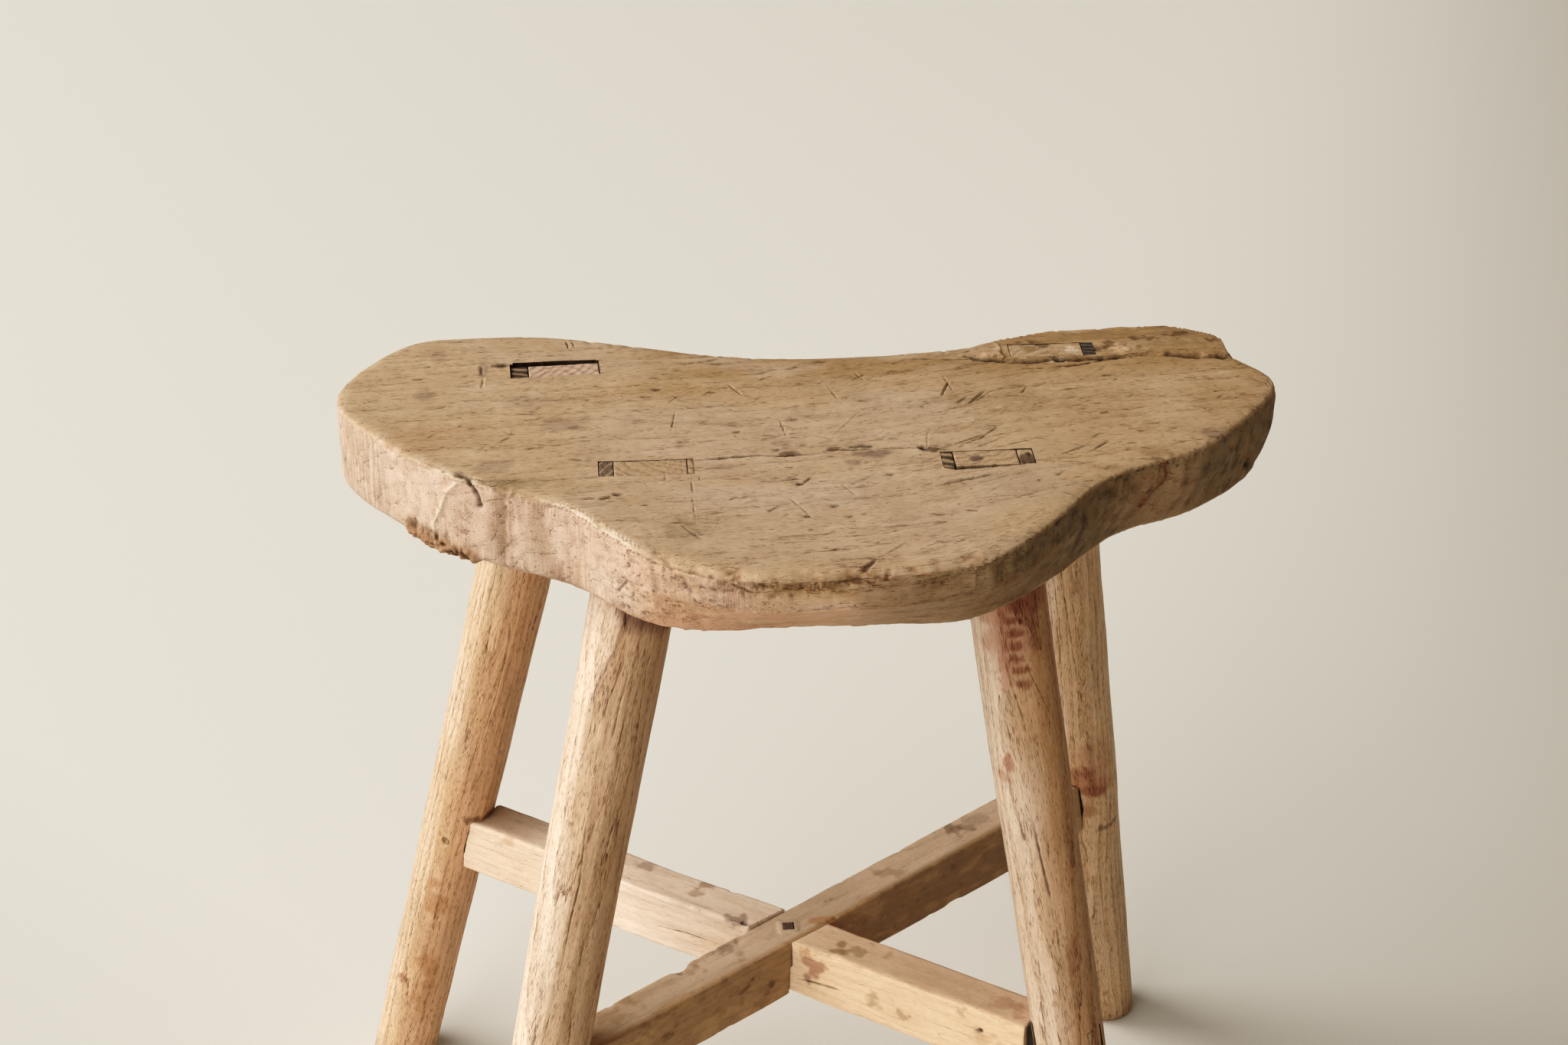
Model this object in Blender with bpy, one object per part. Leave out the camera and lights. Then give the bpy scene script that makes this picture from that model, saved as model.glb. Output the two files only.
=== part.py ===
"""A wooden milking stool, in metres, +Z up.

A thick slab seat stands on four splayed round legs. Each leg ends in a rectangular tenon that goes
right through the seat, and packing pieces driven beside the tenon lock it. Two stretchers cross in a
half lap below the seat, and their own tenons go through the legs. The origin is on the floor, under
the centre of the stool.
"""

import math
from dataclasses import dataclass, field

import bmesh
import bpy
from mathutils import Vector

GAP = 0.0003  # left between two pieces that touch
OVERSHOOT = 0.010  # how far a cutter runs past the face that it cuts
EDGE_ANGLE = math.radians(35)  # faces that meet more sharply than this are shaded with an edge

# Seat
SEAT_TOP = 0.503
SEAT_THICKNESS = 0.044
SEAT_BOTTOM = SEAT_TOP - SEAT_THICKNESS
SEAT_ARRIS = 0.003  # rounding of the top and bottom edges
SIDE_BREAK = 0.018  # how far below the top the side starts to slope in
SAMPLES_PER_POINT = 3  # steps of the curve from one outline point to the next
# The outline seen from above, anticlockwise from the left end. The curve passes through each point.
# The third number is how far the bottom edge is set back there.
SEAT_OUTLINE = [
    (-0.2215, 0.0380, 0.000),
    (-0.2160, 0.0100, 0.000),
    (-0.1960, -0.0190, 0.000),
    (-0.1710, -0.0480, 0.000),
    (-0.1410, -0.0700, 0.000),
    (-0.1120, -0.0880, 0.000),
    (-0.0950, -0.1120, 0.003),
    (-0.0780, -0.1340, 0.008),
    (-0.0500, -0.1540, 0.021),
    (-0.0180, -0.1620, 0.028),
    (0.0340, -0.1590, 0.023),
    (0.0680, -0.1530, 0.018),
    (0.0920, -0.1370, 0.013),
    (0.1155, -0.1110, 0.008),
    (0.1350, -0.0860, 0.005),
    (0.1600, -0.0700, 0.011),
    (0.1920, -0.0550, 0.010),
    (0.2200, -0.0260, 0.004),
    (0.2395, 0.0000, 0.005),
    (0.2420, 0.0180, 0.004),
    (0.2300, 0.0390, 0.002),
    (0.2270, 0.0510, 0.002),
    (0.2270, 0.0620, 0.004),
    (0.2165, 0.0735, 0.004),
    (0.2015, 0.0830, 0.004),
    (0.1650, 0.0815, 0.003),
    (0.1370, 0.0785, 0.002),
    (0.1000, 0.0640, 0.001),
    (0.0650, 0.0590, 0.000),
    (0.0200, 0.0575, 0.000),
    (-0.0300, 0.0635, 0.000),
    (-0.0770, 0.0800, 0.000),
    (-0.1150, 0.0925, 0.000),
    (-0.1550, 0.0955, 0.000),
    (-0.1850, 0.0915, 0.000),
    (-0.2070, 0.0685, 0.000),
]

# Worn strip along the back right edge of the seat, lower than the rest
STRIP_DEPTH = 0.0025
STRIP_FRONT_LEFT = (0.110, 0.0440)
STRIP_FRONT_RIGHT = (0.235, 0.0450)
STRIP_BACK = 0.110

# Leg tenons and the packing beside them
TENON_DEPTH = 0.0146  # front to back
PACKING_LIFT = 0.001  # the packing stops this far above the underside of the seat

# Legs
LEG_SIDES = 28
LEG_LENGTHS = 4  # rows of faces from the floor to the top
FOOT_ARRIS = 0.0025

# Stretchers
BAR_WIDTH = 0.0238
BAR_HEIGHT = 0.0335
BAR_ARRIS = 0.0009
BAR_TENON_WIDTH = 0.009
BAR_TENON_HEIGHT = 0.029
BAR_TENON_ROOT = 0.008  # how far the tenon's block starts inside the bar, past the shoulder
LOWER_TENON_SHIFT = -0.0035
UPPER_TENON_SHIFT = 0.0
TENON_INSET = 0.0004  # the tenon's end inside the round of the leg, and its top below the bar's

# Small round and square fastenings
PEG_RADIUS = 0.002
PEG_SIDES = 12
PEG_LENGTH = 0.029
PEG_DROP = 0.0135  # below the stretcher's top
NAIL_WIDTH = 0.0055
NAIL_POINT_WIDTH = 0.003
NAIL_LENGTH = 0.029


@dataclass
class Packing:
    """A piece driven down beside a tenon. All its positions are along the mortise, from the leg's axis."""

    name: str
    inner: float
    outer_top: float  # at the level of the seat's top
    outer_bottom: float  # at the level of the seat's underside
    material: str

    def outer(self, height):
        share = (height - SEAT_BOTTOM) / SEAT_THICKNESS
        return self.outer_bottom + (self.outer_top - self.outer_bottom) * share


@dataclass
class Leg:
    """A round tapered leg. The tenon's ends are measured along the mortise, from the leg's axis."""

    place: str
    top: tuple  # the axis at the level of the seat's top
    foot: tuple  # the axis on the floor
    top_radius: float
    foot_radius: float
    tenon: tuple
    mortise_turn: float  # the mortise's angle from +X
    bar_top: float  # height of the stretcher's top at this leg
    shoulder: tuple  # from the leg's axis to the stretcher's shoulder, on its near and its far side
    shoulder_lean: float  # 1 where the shoulder follows the leg's slope, 0 where it is upright
    peg_heading: float  # direction from the axis to the peg's head, in degrees from +X
    packing: list = field(default_factory=list)
    tenon_top: float = SEAT_TOP

    def axis(self, height):
        """The point on the leg's centre line at this height."""
        share = height / SEAT_TOP
        low, high = Vector((*self.foot, 0)), Vector((*self.top, SEAT_TOP))
        return low.lerp(high, share)

    def radius(self, height):
        return self.foot_radius + (self.top_radius - self.foot_radius) * height / SEAT_TOP

    def lean(self):
        """The way the leg leans out, as a level vector, and its angle from upright."""
        outwards = Vector((*self.foot, 0)) - Vector((*self.top, 0))
        return outwards.normalized(), math.atan2(outwards.length, SEAT_TOP)


LEGS = {
    "back_left": Leg(
        "back_left",
        top=(-0.1116, 0.0542),
        foot=(-0.2231, 0.1409),
        top_radius=0.0209,
        foot_radius=0.0184,
        tenon=(-0.0160, 0.0193),
        mortise_turn=0.034,
        bar_top=0.2043,
        shoulder=(0.0138, 0.0187),
        shoulder_lean=0.7,
        peg_heading=-109.0,
        packing=[Packing("wedge_back_left", -0.0160, -0.0250, -0.0185, "dark_wedge_wood")],
    ),
    "front_left": Leg(
        "front_left",
        top=(-0.0686, -0.0527),
        foot=(-0.1728, -0.1388),
        top_radius=0.0211,
        foot_radius=0.0184,
        tenon=(-0.0205, 0.0140),
        mortise_turn=-0.014,
        bar_top=0.1946,
        shoulder=(0.0170, 0.0170),
        shoulder_lean=0.8,
        peg_heading=-60.0,
        packing=[
            Packing("wedge_front_left", -0.0205, -0.0275, -0.0230, "dark_wedge_wood"),
            Packing("shim_front_left", 0.0140, 0.0170, 0.0156, "leg_wood"),
        ],
    ),
    "front_right": Leg(
        "front_right",
        top=(0.0877, -0.0563),
        foot=(0.1621, -0.1448),
        top_radius=0.0196,
        foot_radius=0.0176,
        tenon=(-0.0160, 0.0145),
        mortise_turn=-0.016,
        bar_top=0.1983,
        shoulder=(0.0185, 0.0185),
        shoulder_lean=0.0,
        peg_heading=-130.0,
        packing=[
            Packing("wedge_front_right", -0.0160, -0.0220, -0.0185, "dark_wedge_wood"),
            Packing("filler_front_right", 0.0145, 0.0220, 0.0180, "filler_wood"),
        ],
    ),
    "back_right": Leg(
        "back_right",
        top=(0.1345, 0.0548),
        foot=(0.2140, 0.1454),
        top_radius=0.0210,
        foot_radius=0.0183,
        tenon=(-0.0185, 0.0188),
        mortise_turn=-0.010,
        bar_top=0.2064,
        shoulder=(0.0138, 0.0187),
        shoulder_lean=0.75,
        peg_heading=130.0,
        packing=[Packing("wedge_back_right", 0.0188, 0.0258, 0.0213, "dark_wedge_wood")],
        tenon_top=SEAT_TOP - STRIP_DEPTH,
    ),
}

MATERIALS = {
    "seat_wood": ((0.33, 0.21, 0.115), 0.75),
    "leg_wood": ((0.52, 0.36, 0.215), 0.65),
    "stretcher_wood": ((0.46, 0.31, 0.18), 0.70),
    "dark_wedge_wood": ((0.10, 0.070, 0.045), 0.70),
    "filler_wood": ((0.16, 0.115, 0.080), 0.75),
    "nail_iron": ((0.075, 0.062, 0.055), 0.60),
}


def clear_scene():
    for obj in list(bpy.data.objects):
        bpy.data.objects.remove(obj, do_unlink=True)


def make_material(name):
    colour, roughness = MATERIALS[name]
    material = bpy.data.materials.new(name)
    material.use_nodes = True
    shader = material.node_tree.nodes["Principled BSDF"]
    shader.inputs["Base Color"].default_value = (*colour, 1)
    shader.inputs["Roughness"].default_value = roughness
    shader.inputs["Metallic"].default_value = 0.8 if name == "nail_iron" else 0.0
    return material


def loft(name, rings):
    """A closed solid through rings of points that all have the same count, capped at both ends."""
    bm = bmesh.new()
    loops = [[bm.verts.new(point) for point in ring] for ring in rings]
    edges = [[bm.edges.new((a, b)) for a, b in zip(loop, loop[1:] + loop[:1])] for loop in loops]
    for lower, upper in zip(edges, edges[1:]):
        bmesh.ops.bridge_loops(bm, edges=lower + upper)
    bm.faces.new(loops[0])
    bm.faces.new(loops[-1])
    bmesh.ops.recalc_face_normals(bm, faces=bm.faces)
    mesh = bpy.data.meshes.new(name)
    bm.to_mesh(mesh)
    bm.free()
    obj = bpy.data.objects.new(name, mesh)
    bpy.context.scene.collection.objects.link(obj)
    return obj


def block(name, frame, low, high):
    """A box from corner low to corner high in a frame of (origin, along, across, up)."""
    origin, along, across, up = frame
    rings = []
    for z in (low[2], high[2]):
        corners = ((low[0], low[1]), (high[0], low[1]), (high[0], high[1]), (low[0], high[1]))
        rings.append([origin + along * x + across * y + up * z for x, y in corners])
    return loft(name, rings)


def hide(cutter):
    cutter.hide_render = True
    cutter.display_type = "WIRE"


def combine(obj, other, operation):
    """Adds a Boolean modifier with another object, which is then hidden as a cutter."""
    modifier = obj.modifiers.new(other.name, "BOOLEAN")
    modifier.operation = operation
    modifier.solver = "EXACT"
    modifier.object = other
    hide(other)


def finish(obj, material):
    """Gives the object its material, and soft shading except at its edges."""
    obj.data.materials.append(material)
    obj.data.shade_smooth()
    obj.data.set_sharp_from_angle(angle=EDGE_ANGLE)


def curve_through(points, samples):
    """A closed Catmull-Rom curve through the points, as a list of vectors."""
    count = len(points)
    curve = []
    for i in range(count):
        before, start, end, after = (Vector(points[(i + k) % count]) for k in (-1, 0, 1, 2))
        for step in range(samples):
            t = step / samples
            curve.append(
                0.5
                * (
                    2 * start
                    + (end - before) * t
                    + (2 * before - 5 * start + 4 * end - after) * t * t
                    + (3 * start - before - 3 * end + after) * t**3
                )
            )
    return curve


def inset(curve, distances):
    """A curve's points in plan, each moved inwards along its own normal. The curve is anticlockwise."""
    count = len(curve)
    moved = []
    for i, (point, distance) in enumerate(zip(curve, distances)):
        tangent = (curve[(i + 1) % count] - curve[i - 1]).to_2d().normalized()
        moved.append(point.to_2d() + Vector((-tangent.y, tangent.x)) * distance)
    return moved


def mortise_section(leg, height, left, right, half_depth):
    """The four corners, at one height, of a rectangle that follows the leg's slope."""
    centre = leg.axis(height)
    along = Vector((math.cos(leg.mortise_turn), math.sin(leg.mortise_turn), 0))
    across = Vector((-along.y, along.x, 0))
    corners = ((left, -half_depth), (right, -half_depth), (right, half_depth), (left, half_depth))
    return [centre + along * x + across * y for x, y in corners]


def mortise_ends(leg, height):
    """The mortise's left and right ends at this height."""
    left, right = leg.tenon
    for piece in leg.packing:
        left, right = min(left, piece.outer(height)), max(right, piece.outer(height))
    return left - GAP, right + GAP


def mortise_cutter(leg):
    """The hole through the seat: its ends slope outwards to the top where packing goes in."""
    half_depth = TENON_DEPTH / 2 + GAP
    bottom = mortise_ends(leg, SEAT_BOTTOM)
    top = mortise_ends(leg, SEAT_TOP)
    rings = [
        mortise_section(leg, SEAT_BOTTOM - OVERSHOOT, *bottom, half_depth),
        mortise_section(leg, SEAT_BOTTOM, *bottom, half_depth),
        mortise_section(leg, SEAT_TOP, *top, half_depth),
        mortise_section(leg, SEAT_TOP + OVERSHOOT, *top, half_depth),
    ]
    return loft("mortise_cutter_" + leg.place, rings)


def worn_strip_cutter():
    corners = [
        STRIP_FRONT_LEFT,
        STRIP_FRONT_RIGHT,
        (STRIP_FRONT_RIGHT[0] + OVERSHOOT, STRIP_BACK),
        (STRIP_FRONT_LEFT[0], STRIP_BACK),
    ]
    heights = (SEAT_TOP - STRIP_DEPTH, SEAT_TOP + OVERSHOOT)
    return loft("worn_strip_cutter", [[Vector((*corner, z)) for corner in corners] for z in heights])


def make_seat(material):
    curve = curve_through(SEAT_OUTLINE, SAMPLES_PER_POINT)
    setbacks = [max(point.z, 0) for point in curve]
    levels = [
        ([setback + SEAT_ARRIS for setback in setbacks], SEAT_BOTTOM),
        (setbacks, SEAT_BOTTOM + SEAT_ARRIS),
        ([0] * len(curve), SEAT_TOP - SIDE_BREAK),
        ([0] * len(curve), SEAT_TOP - SEAT_ARRIS),
        ([SEAT_ARRIS] * len(curve), SEAT_TOP),
    ]
    rings = [[Vector((*point, z)) for point in inset(curve, distances)] for distances, z in levels]
    seat = loft("seat", rings)
    combine(seat, worn_strip_cutter(), "DIFFERENCE")
    for leg in LEGS.values():
        combine(seat, mortise_cutter(leg), "DIFFERENCE")
    finish(seat, material)


def leg_ring(leg, height, shrink=0.0):
    """A level slice of the leaning round leg, which is an ellipse, longer along the lean."""
    lean, slant = leg.lean()
    side = Vector((-lean.y, lean.x, 0))
    radius = leg.radius(height) - shrink
    ring = []
    for step in range(LEG_SIDES):
        angle = 2 * math.pi * step / LEG_SIDES
        offset = lean * math.cos(angle) / math.cos(slant) + side * math.sin(angle)
        ring.append(leg.axis(height) + offset * radius)
    return ring


def tenon_shoulder_cutter(leg):
    """Everything round the tenon, from the shoulder up: a block with the tenon's shape left out."""
    shoulder = SEAT_BOTTOM - GAP
    reach = 2 * leg.top_radius
    centre = leg.axis(shoulder)
    frame = (centre, Vector((1, 0, 0)), Vector((0, 1, 0)), Vector((0, 0, 1)))
    low, high = (-reach, -reach, 0), (reach, reach, 2 * SEAT_THICKNESS)
    waste = block("shoulder_cutter_" + leg.place, frame, low, high)
    left, right = leg.tenon
    half_depth = TENON_DEPTH / 2
    rings = [
        mortise_section(leg, height, left, right, half_depth)
        for height in (shoulder - OVERSHOOT, leg.tenon_top)
    ]
    combine(waste, loft("tenon_shape_" + leg.place, rings), "DIFFERENCE")
    return waste


def make_leg(leg):
    rings = [leg_ring(leg, 0, FOOT_ARRIS), leg_ring(leg, FOOT_ARRIS)]
    rings += [leg_ring(leg, SEAT_TOP * row / LEG_LENGTHS) for row in range(1, LEG_LENGTHS + 1)]
    obj = loft("leg_" + leg.place, rings)
    combine(obj, tenon_shoulder_cutter(leg), "DIFFERENCE")
    return obj


def make_packing(leg, piece, material):
    """A tapered piece between the tenon's end and the mortise's sloping end."""
    away = math.copysign(GAP, piece.outer_top - piece.inner)
    half_depth = TENON_DEPTH / 2
    ends = []
    for height in (SEAT_BOTTOM + PACKING_LIFT, leg.tenon_top):
        left, right = sorted((piece.inner + away, piece.outer(height)))
        ends.append(mortise_section(leg, height, left, right, half_depth))
    finish(loft(piece.name, ends), material)


@dataclass
class Bar:
    """A stretcher between two legs. Its frame starts on the first leg's axis, at the stretcher's top."""

    name: str
    first: Leg
    second: Leg
    tenon_shift: float  # the tenons' middle from the bar's middle, positive to the far side

    def frame(self):
        start = self.first.axis(self.first.bar_top)
        end = self.second.axis(self.second.bar_top)
        along = (end - start).normalized()
        across = Vector((0, 0, 1)).cross(along).normalized()
        return start, along, across, along.cross(across)

    def level_frame(self, height):
        """The same frame turned level, at another height."""
        start, along, across, _ = self.frame()
        level = Vector((along.x, along.y, 0)).normalized()
        return Vector((start.x, start.y, height)), level, across, Vector((0, 0, 1))

    def outward(self, leg):
        """The way along the bar that leads out of the stool at this leg."""
        along = self.frame()[1]
        return along if leg is self.second else -along

    def slope(self, leg):
        """How far the leg's axis moves outwards along the bar for each metre down."""
        drop = leg.axis(leg.bar_top - BAR_HEIGHT) - leg.axis(leg.bar_top)
        return drop.dot(self.outward(leg)) / BAR_HEIGHT


def bar_profile(spare):
    """The bar's section as (across, up) pairs, with its top edge line at zero height."""
    half, cut = BAR_WIDTH / 2 + spare, BAR_ARRIS
    top, bottom = spare, -BAR_HEIGHT - spare
    return [
        (half - cut, bottom),
        (half, bottom + cut),
        (half, top - cut),
        (half - cut, top),
        (cut - half, top),
        (-half, top - cut),
        (-half, bottom + cut),
        (cut - half, bottom),
    ]


def bar_end(bar, leg, spare):
    """The ring of points round the shoulder, which may be askew in plan and slope down outwards."""
    _, _, across, up = bar.frame()
    outward = bar.outward(leg)
    near, far = leg.shoulder
    ring = []
    for y, z in bar_profile(spare):
        inward = near + (far - near) * (y / BAR_WIDTH + 0.5) + bar.slope(leg) * leg.shoulder_lean * z
        ring.append(leg.axis(leg.bar_top) - outward * (inward - spare) + across * y + up * z)
    return ring


def bar_body(bar, name, spare=0.0):
    """The stretcher between its shoulders, or the larger shape that a leg's housing needs."""
    return loft(name, [bar_end(bar, bar.first, spare), bar_end(bar, bar.second, spare)])


def bar_tenon(bar, leg, name, spare=0.0):
    """A through tenon, square to the leg, so that it rises outwards. Its end follows the round leg."""
    _, _, across, up = bar.frame()
    outward = bar.outward(leg)
    rise = math.atan(bar.slope(leg))
    out = outward * math.cos(rise) + up * math.sin(rise)
    lift = up * math.cos(rise) - outward * math.sin(rise)
    root = min(leg.shoulder)
    top = root * math.sin(rise) - TENON_INSET + spare
    bottom = top - BAR_TENON_HEIGHT - 2 * spare
    half = BAR_TENON_WIDTH / 2 + spare
    radius = leg.radius(leg.bar_top)
    inner, outer = [], []
    for y, z in ((-half, bottom), (half, bottom), (half, top), (-half, top)):
        y += bar.tenon_shift
        corner = leg.axis(leg.bar_top) + across * y + lift * z
        end = radius + OVERSHOOT if spare else math.sqrt(radius**2 - y**2) - TENON_INSET
        inner.append(corner - out * (root + BAR_TENON_ROOT))
        outer.append(corner + out * end)
    return loft(name, [inner, outer])


def crossing(bar, other):
    """The point where two bars' centre lines cross, seen from above, at the mean of their tops."""
    start, along, _, _ = bar.frame()
    other_start, other_along, other_across, _ = other.frame()
    distance = (other_start - start).dot(other_across) / along.dot(other_across)
    point = start + along * distance
    other_distance = (point - other_start).dot(other_along)
    point.z = (point.z + (other_start + other_along * other_distance).z) / 2
    return point


def lap_cutter(bar, other, point, over):
    """The notch for the other bar: in the lower half of the bar that goes over, in the upper half of
    the other one."""
    seam = point.z - BAR_HEIGHT / 2
    half = BAR_WIDTH / 2 + GAP
    low, high = (-BAR_HEIGHT, GAP / 2) if over else (-GAP / 2, BAR_HEIGHT)
    frame = other.level_frame(seam)
    reach = (point - frame[0]).dot(frame[1])
    name = "lap_cutter_" + bar.name
    return block(name, frame, (reach - 2 * BAR_WIDTH, -half, low), (reach + 2 * BAR_WIDTH, half, high))


def peg_line(leg):
    """Where the peg's head is and which way it goes in, through the stretcher's tenon."""
    height = leg.bar_top - PEG_DROP
    heading = math.radians(leg.peg_heading)
    outward = Vector((math.cos(heading), math.sin(heading), 0))
    return leg.axis(height) + outward * leg.radius(height), -outward


def rod(name, head, direction, radius, length, start=0.0):
    """A round rod from the head inwards. A negative start makes it begin outside."""
    side = direction.cross(Vector((0, 0, 1))).normalized()
    up = side.cross(direction)
    rings = []
    for distance in (start, length):
        ring = []
        for step in range(PEG_SIDES):
            angle = 2 * math.pi * step / PEG_SIDES
            offset = side * math.cos(angle) + up * math.sin(angle)
            ring.append(head + direction * distance + offset * radius)
        rings.append(ring)
    return loft(name, rings)


def square_spike(name, head, spare=0.0):
    """A square nail going down from the head and tapering, or the larger hole that it needs."""
    sections = [(0, NAIL_WIDTH), (NAIL_LENGTH + spare, NAIL_POINT_WIDTH)]
    if spare:
        sections.insert(0, (-OVERSHOOT, NAIL_WIDTH))
    rings = []
    for depth, width in sections:
        half = width / 2 + spare
        corners = ((-half, -half), (half, -half), (half, half), (-half, half))
        rings.append([head + Vector((x, y, -depth)) for x, y in corners])
    return loft(name, rings)


def make_bar(bar):
    obj = bar_body(bar, bar.name)
    for leg in (bar.first, bar.second):
        combine(obj, bar_tenon(bar, leg, "tenon_" + leg.place), "UNION")
    return obj


def cut_joint(bar, leg, leg_object):
    """The housing for the stretcher's end and the mortise for its tenon, in the leg."""
    combine(leg_object, bar_body(bar, "housing_" + leg.place, GAP), "DIFFERENCE")
    combine(leg_object, bar_tenon(bar, leg, "bar_mortise_" + leg.place, GAP), "DIFFERENCE")


def make_peg(leg, leg_object, bar_object, material):
    head, inward = peg_line(leg)
    finish(rod("peg_" + leg.place, head, inward, PEG_RADIUS, PEG_LENGTH), material)
    for obj in (leg_object, bar_object):
        name = "peg_hole_" + leg.place + "_" + obj.name
        radius = PEG_RADIUS + GAP
        combine(obj, rod(name, head, inward, radius, PEG_LENGTH + GAP, -OVERSHOOT), "DIFFERENCE")


def make_nail(point, bar_objects, material):
    finish(square_spike("crossing_nail", point), material)
    for obj in bar_objects:
        combine(obj, square_spike("nail_hole_" + obj.name, point, GAP), "DIFFERENCE")


def main():
    clear_scene()
    materials = {name: make_material(name) for name in MATERIALS}
    make_seat(materials["seat_wood"])

    leg_objects = {}
    for place, leg in LEGS.items():
        leg_objects[place] = make_leg(leg)
        for piece in leg.packing:
            make_packing(leg, piece, materials[piece.material])

    lower = Bar("stretcher_lower", LEGS["back_left"], LEGS["front_right"], LOWER_TENON_SHIFT)
    upper = Bar("stretcher_upper", LEGS["front_left"], LEGS["back_right"], UPPER_TENON_SHIFT)
    point = crossing(lower, upper)
    bar_objects = {}
    for bar, other, over in ((lower, upper, False), (upper, lower, True)):
        obj = make_bar(bar)
        bar_objects[bar.name] = obj
        combine(obj, lap_cutter(bar, other, point, over), "DIFFERENCE")
        for leg in (bar.first, bar.second):
            leg_object = leg_objects[leg.place]
            cut_joint(bar, leg, leg_object)
            make_peg(leg, leg_object, obj, materials["leg_wood"])
    make_nail(point, bar_objects.values(), materials["nail_iron"])

    for obj in leg_objects.values():
        finish(obj, materials["leg_wood"])
    for obj in bar_objects.values():
        finish(obj, materials["stretcher_wood"])


main()
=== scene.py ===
"""The looks of a worn wooden milking stool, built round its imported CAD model.

Every CAD node is replaced by a finer mesh of the same piece: a hand-cut slab seat, four shaved round
legs, two crossed stretchers, and the wedges, pegs and nail that lock the joints. The wear, the cracks
and the tool marks are in the meshes. The materials add grain, pores and stains.
"""

import itertools
import math
from dataclasses import dataclass

import bmesh
import bpy
import numpy as np
from mathutils import Matrix, Vector
from mathutils.kdtree import KDTree


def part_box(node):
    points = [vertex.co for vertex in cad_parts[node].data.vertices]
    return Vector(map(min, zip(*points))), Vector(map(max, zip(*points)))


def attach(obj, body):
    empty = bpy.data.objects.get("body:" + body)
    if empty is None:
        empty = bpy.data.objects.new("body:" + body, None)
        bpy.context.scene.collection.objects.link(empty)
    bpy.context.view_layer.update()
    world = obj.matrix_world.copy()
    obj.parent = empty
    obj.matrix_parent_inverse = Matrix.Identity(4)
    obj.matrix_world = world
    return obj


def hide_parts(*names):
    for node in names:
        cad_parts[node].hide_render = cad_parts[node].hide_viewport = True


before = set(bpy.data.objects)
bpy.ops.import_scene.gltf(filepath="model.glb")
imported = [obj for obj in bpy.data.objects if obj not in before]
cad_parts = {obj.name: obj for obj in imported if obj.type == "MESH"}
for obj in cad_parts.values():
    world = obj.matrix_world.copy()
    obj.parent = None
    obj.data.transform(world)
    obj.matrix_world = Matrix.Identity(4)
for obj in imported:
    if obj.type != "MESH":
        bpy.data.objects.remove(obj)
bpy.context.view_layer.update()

MM = 0.001

# Sizes taken from the CAD model
SEAT_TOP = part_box("seat")[1].z
SEAT_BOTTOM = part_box("seat")[0].z
TENON_HALF_DEPTH = 7.3  # these in millimetres
MORTISE_HALF_DEPTH = 7.6
BARS = {
    "stretcher_lower": ("back_left", "front_right"),
    "stretcher_upper": ("front_left", "back_right"),
}
HALF_BAR = 12 * MM  # half the stretchers' width
BAR_HEIGHT = 33.5 * MM

# How fine the meshes are
SEAT_VOXEL = 1.7 * MM
BAR_VOXEL = 1.0 * MM
SMALL_VOXEL = 0.6 * MM
PEG_VOXEL = 0.4 * MM
NAIL_VOXEL = 0.35 * MM
LEG_SIDES = 140
LEG_ROWS = 270
FIT_GAP = 0.3 * MM  # between pieces that touch
CUT_PAST = 8 * MM  # how far a cutter runs past the face that it cuts

# Colours of the wood, in linear light
TAN = (0.61, 0.475, 0.335)
GREY_TAN = (0.60, 0.485, 0.37)
OCHRE = (0.58, 0.42, 0.255)
UMBER = (0.36, 0.24, 0.135)
DARK_BROWN = (0.15, 0.09, 0.05)
NEARLY_BLACK = (0.030, 0.020, 0.014)
OLIVE_BROWN = (0.365, 0.28, 0.175)
PLUM_GREY = (0.33, 0.235, 0.19)
PINK_TAN = (0.75, 0.59, 0.49)
PALE_FIBRE = (0.84, 0.73, 0.62)
ORANGE_BROWN = (0.50, 0.27, 0.13)
RED_BROWN = (0.37, 0.175, 0.11)
ASH = (0.76, 0.61, 0.48)
ASH_LIGHT = (0.88, 0.76, 0.64)
HONEY = (0.73, 0.535, 0.355)

# ---------------------------------------------------------------------------------------------------
# Numbers: noise and small helpers


def lattice_noise(points, seed):
    """Smooth noise from -1 to 1 that changes over a distance of 1."""
    cell = np.floor(points).astype(np.int64)
    blend = points - cell
    blend = blend * blend * (3 - 2 * blend)
    total = np.zeros(len(points))
    for corner in itertools.product((0, 1), repeat=3):
        at = cell + corner
        mixed = at[:, 0] * 374761393 + at[:, 1] * 668265263 + at[:, 2] * 2147483647 + seed * 1274126177
        mixed = (mixed ^ (mixed >> 13)) & 0x7FFFFFFF
        mixed = (mixed * 1274126177) & 0x7FFFFFFF
        mixed = mixed ^ (mixed >> 16)
        weight = np.prod(np.where(corner, blend, 1 - blend), axis=1)
        total += weight * ((mixed & 0xFFFF) / 0x7FFF - 1)
    return total


def noise(points, size, seed, octaves=1):
    """Noise from about -1 to 1. size is the distance over which it changes, or one for each axis, in
    millimetres."""
    scaled = points / (np.asarray(size, float) * MM)
    total = np.zeros(len(points))
    strength = 1.0
    for octave in range(octaves):
        total += strength * lattice_noise(scaled * 2**octave + 17.3 * octave, seed + octave)
        strength *= 0.5
    return total


def smooth(value, low, high):
    """0 below low, 1 above high, and an even curve between them. low may be the larger one."""
    share = np.clip((value - low) / (high - low), 0, 1)
    return share * share * (3 - 2 * share)


def patches(points, size, seed, low, high, octaves=2):
    """Uneven patches with soft edges: 0 where the noise is below low, and 1 where it is above high."""
    return smooth(noise(points, size, seed, octaves), low, high)


def bell(value, width):
    """1 where the value is 0, and less on both sides of it over a width."""
    return np.exp(-((value / width) ** 2))


def mix(first, second, share):
    return first + (np.asarray(second) - first) * np.asarray(share)[:, None]


# ---------------------------------------------------------------------------------------------------
# Meshes


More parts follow.
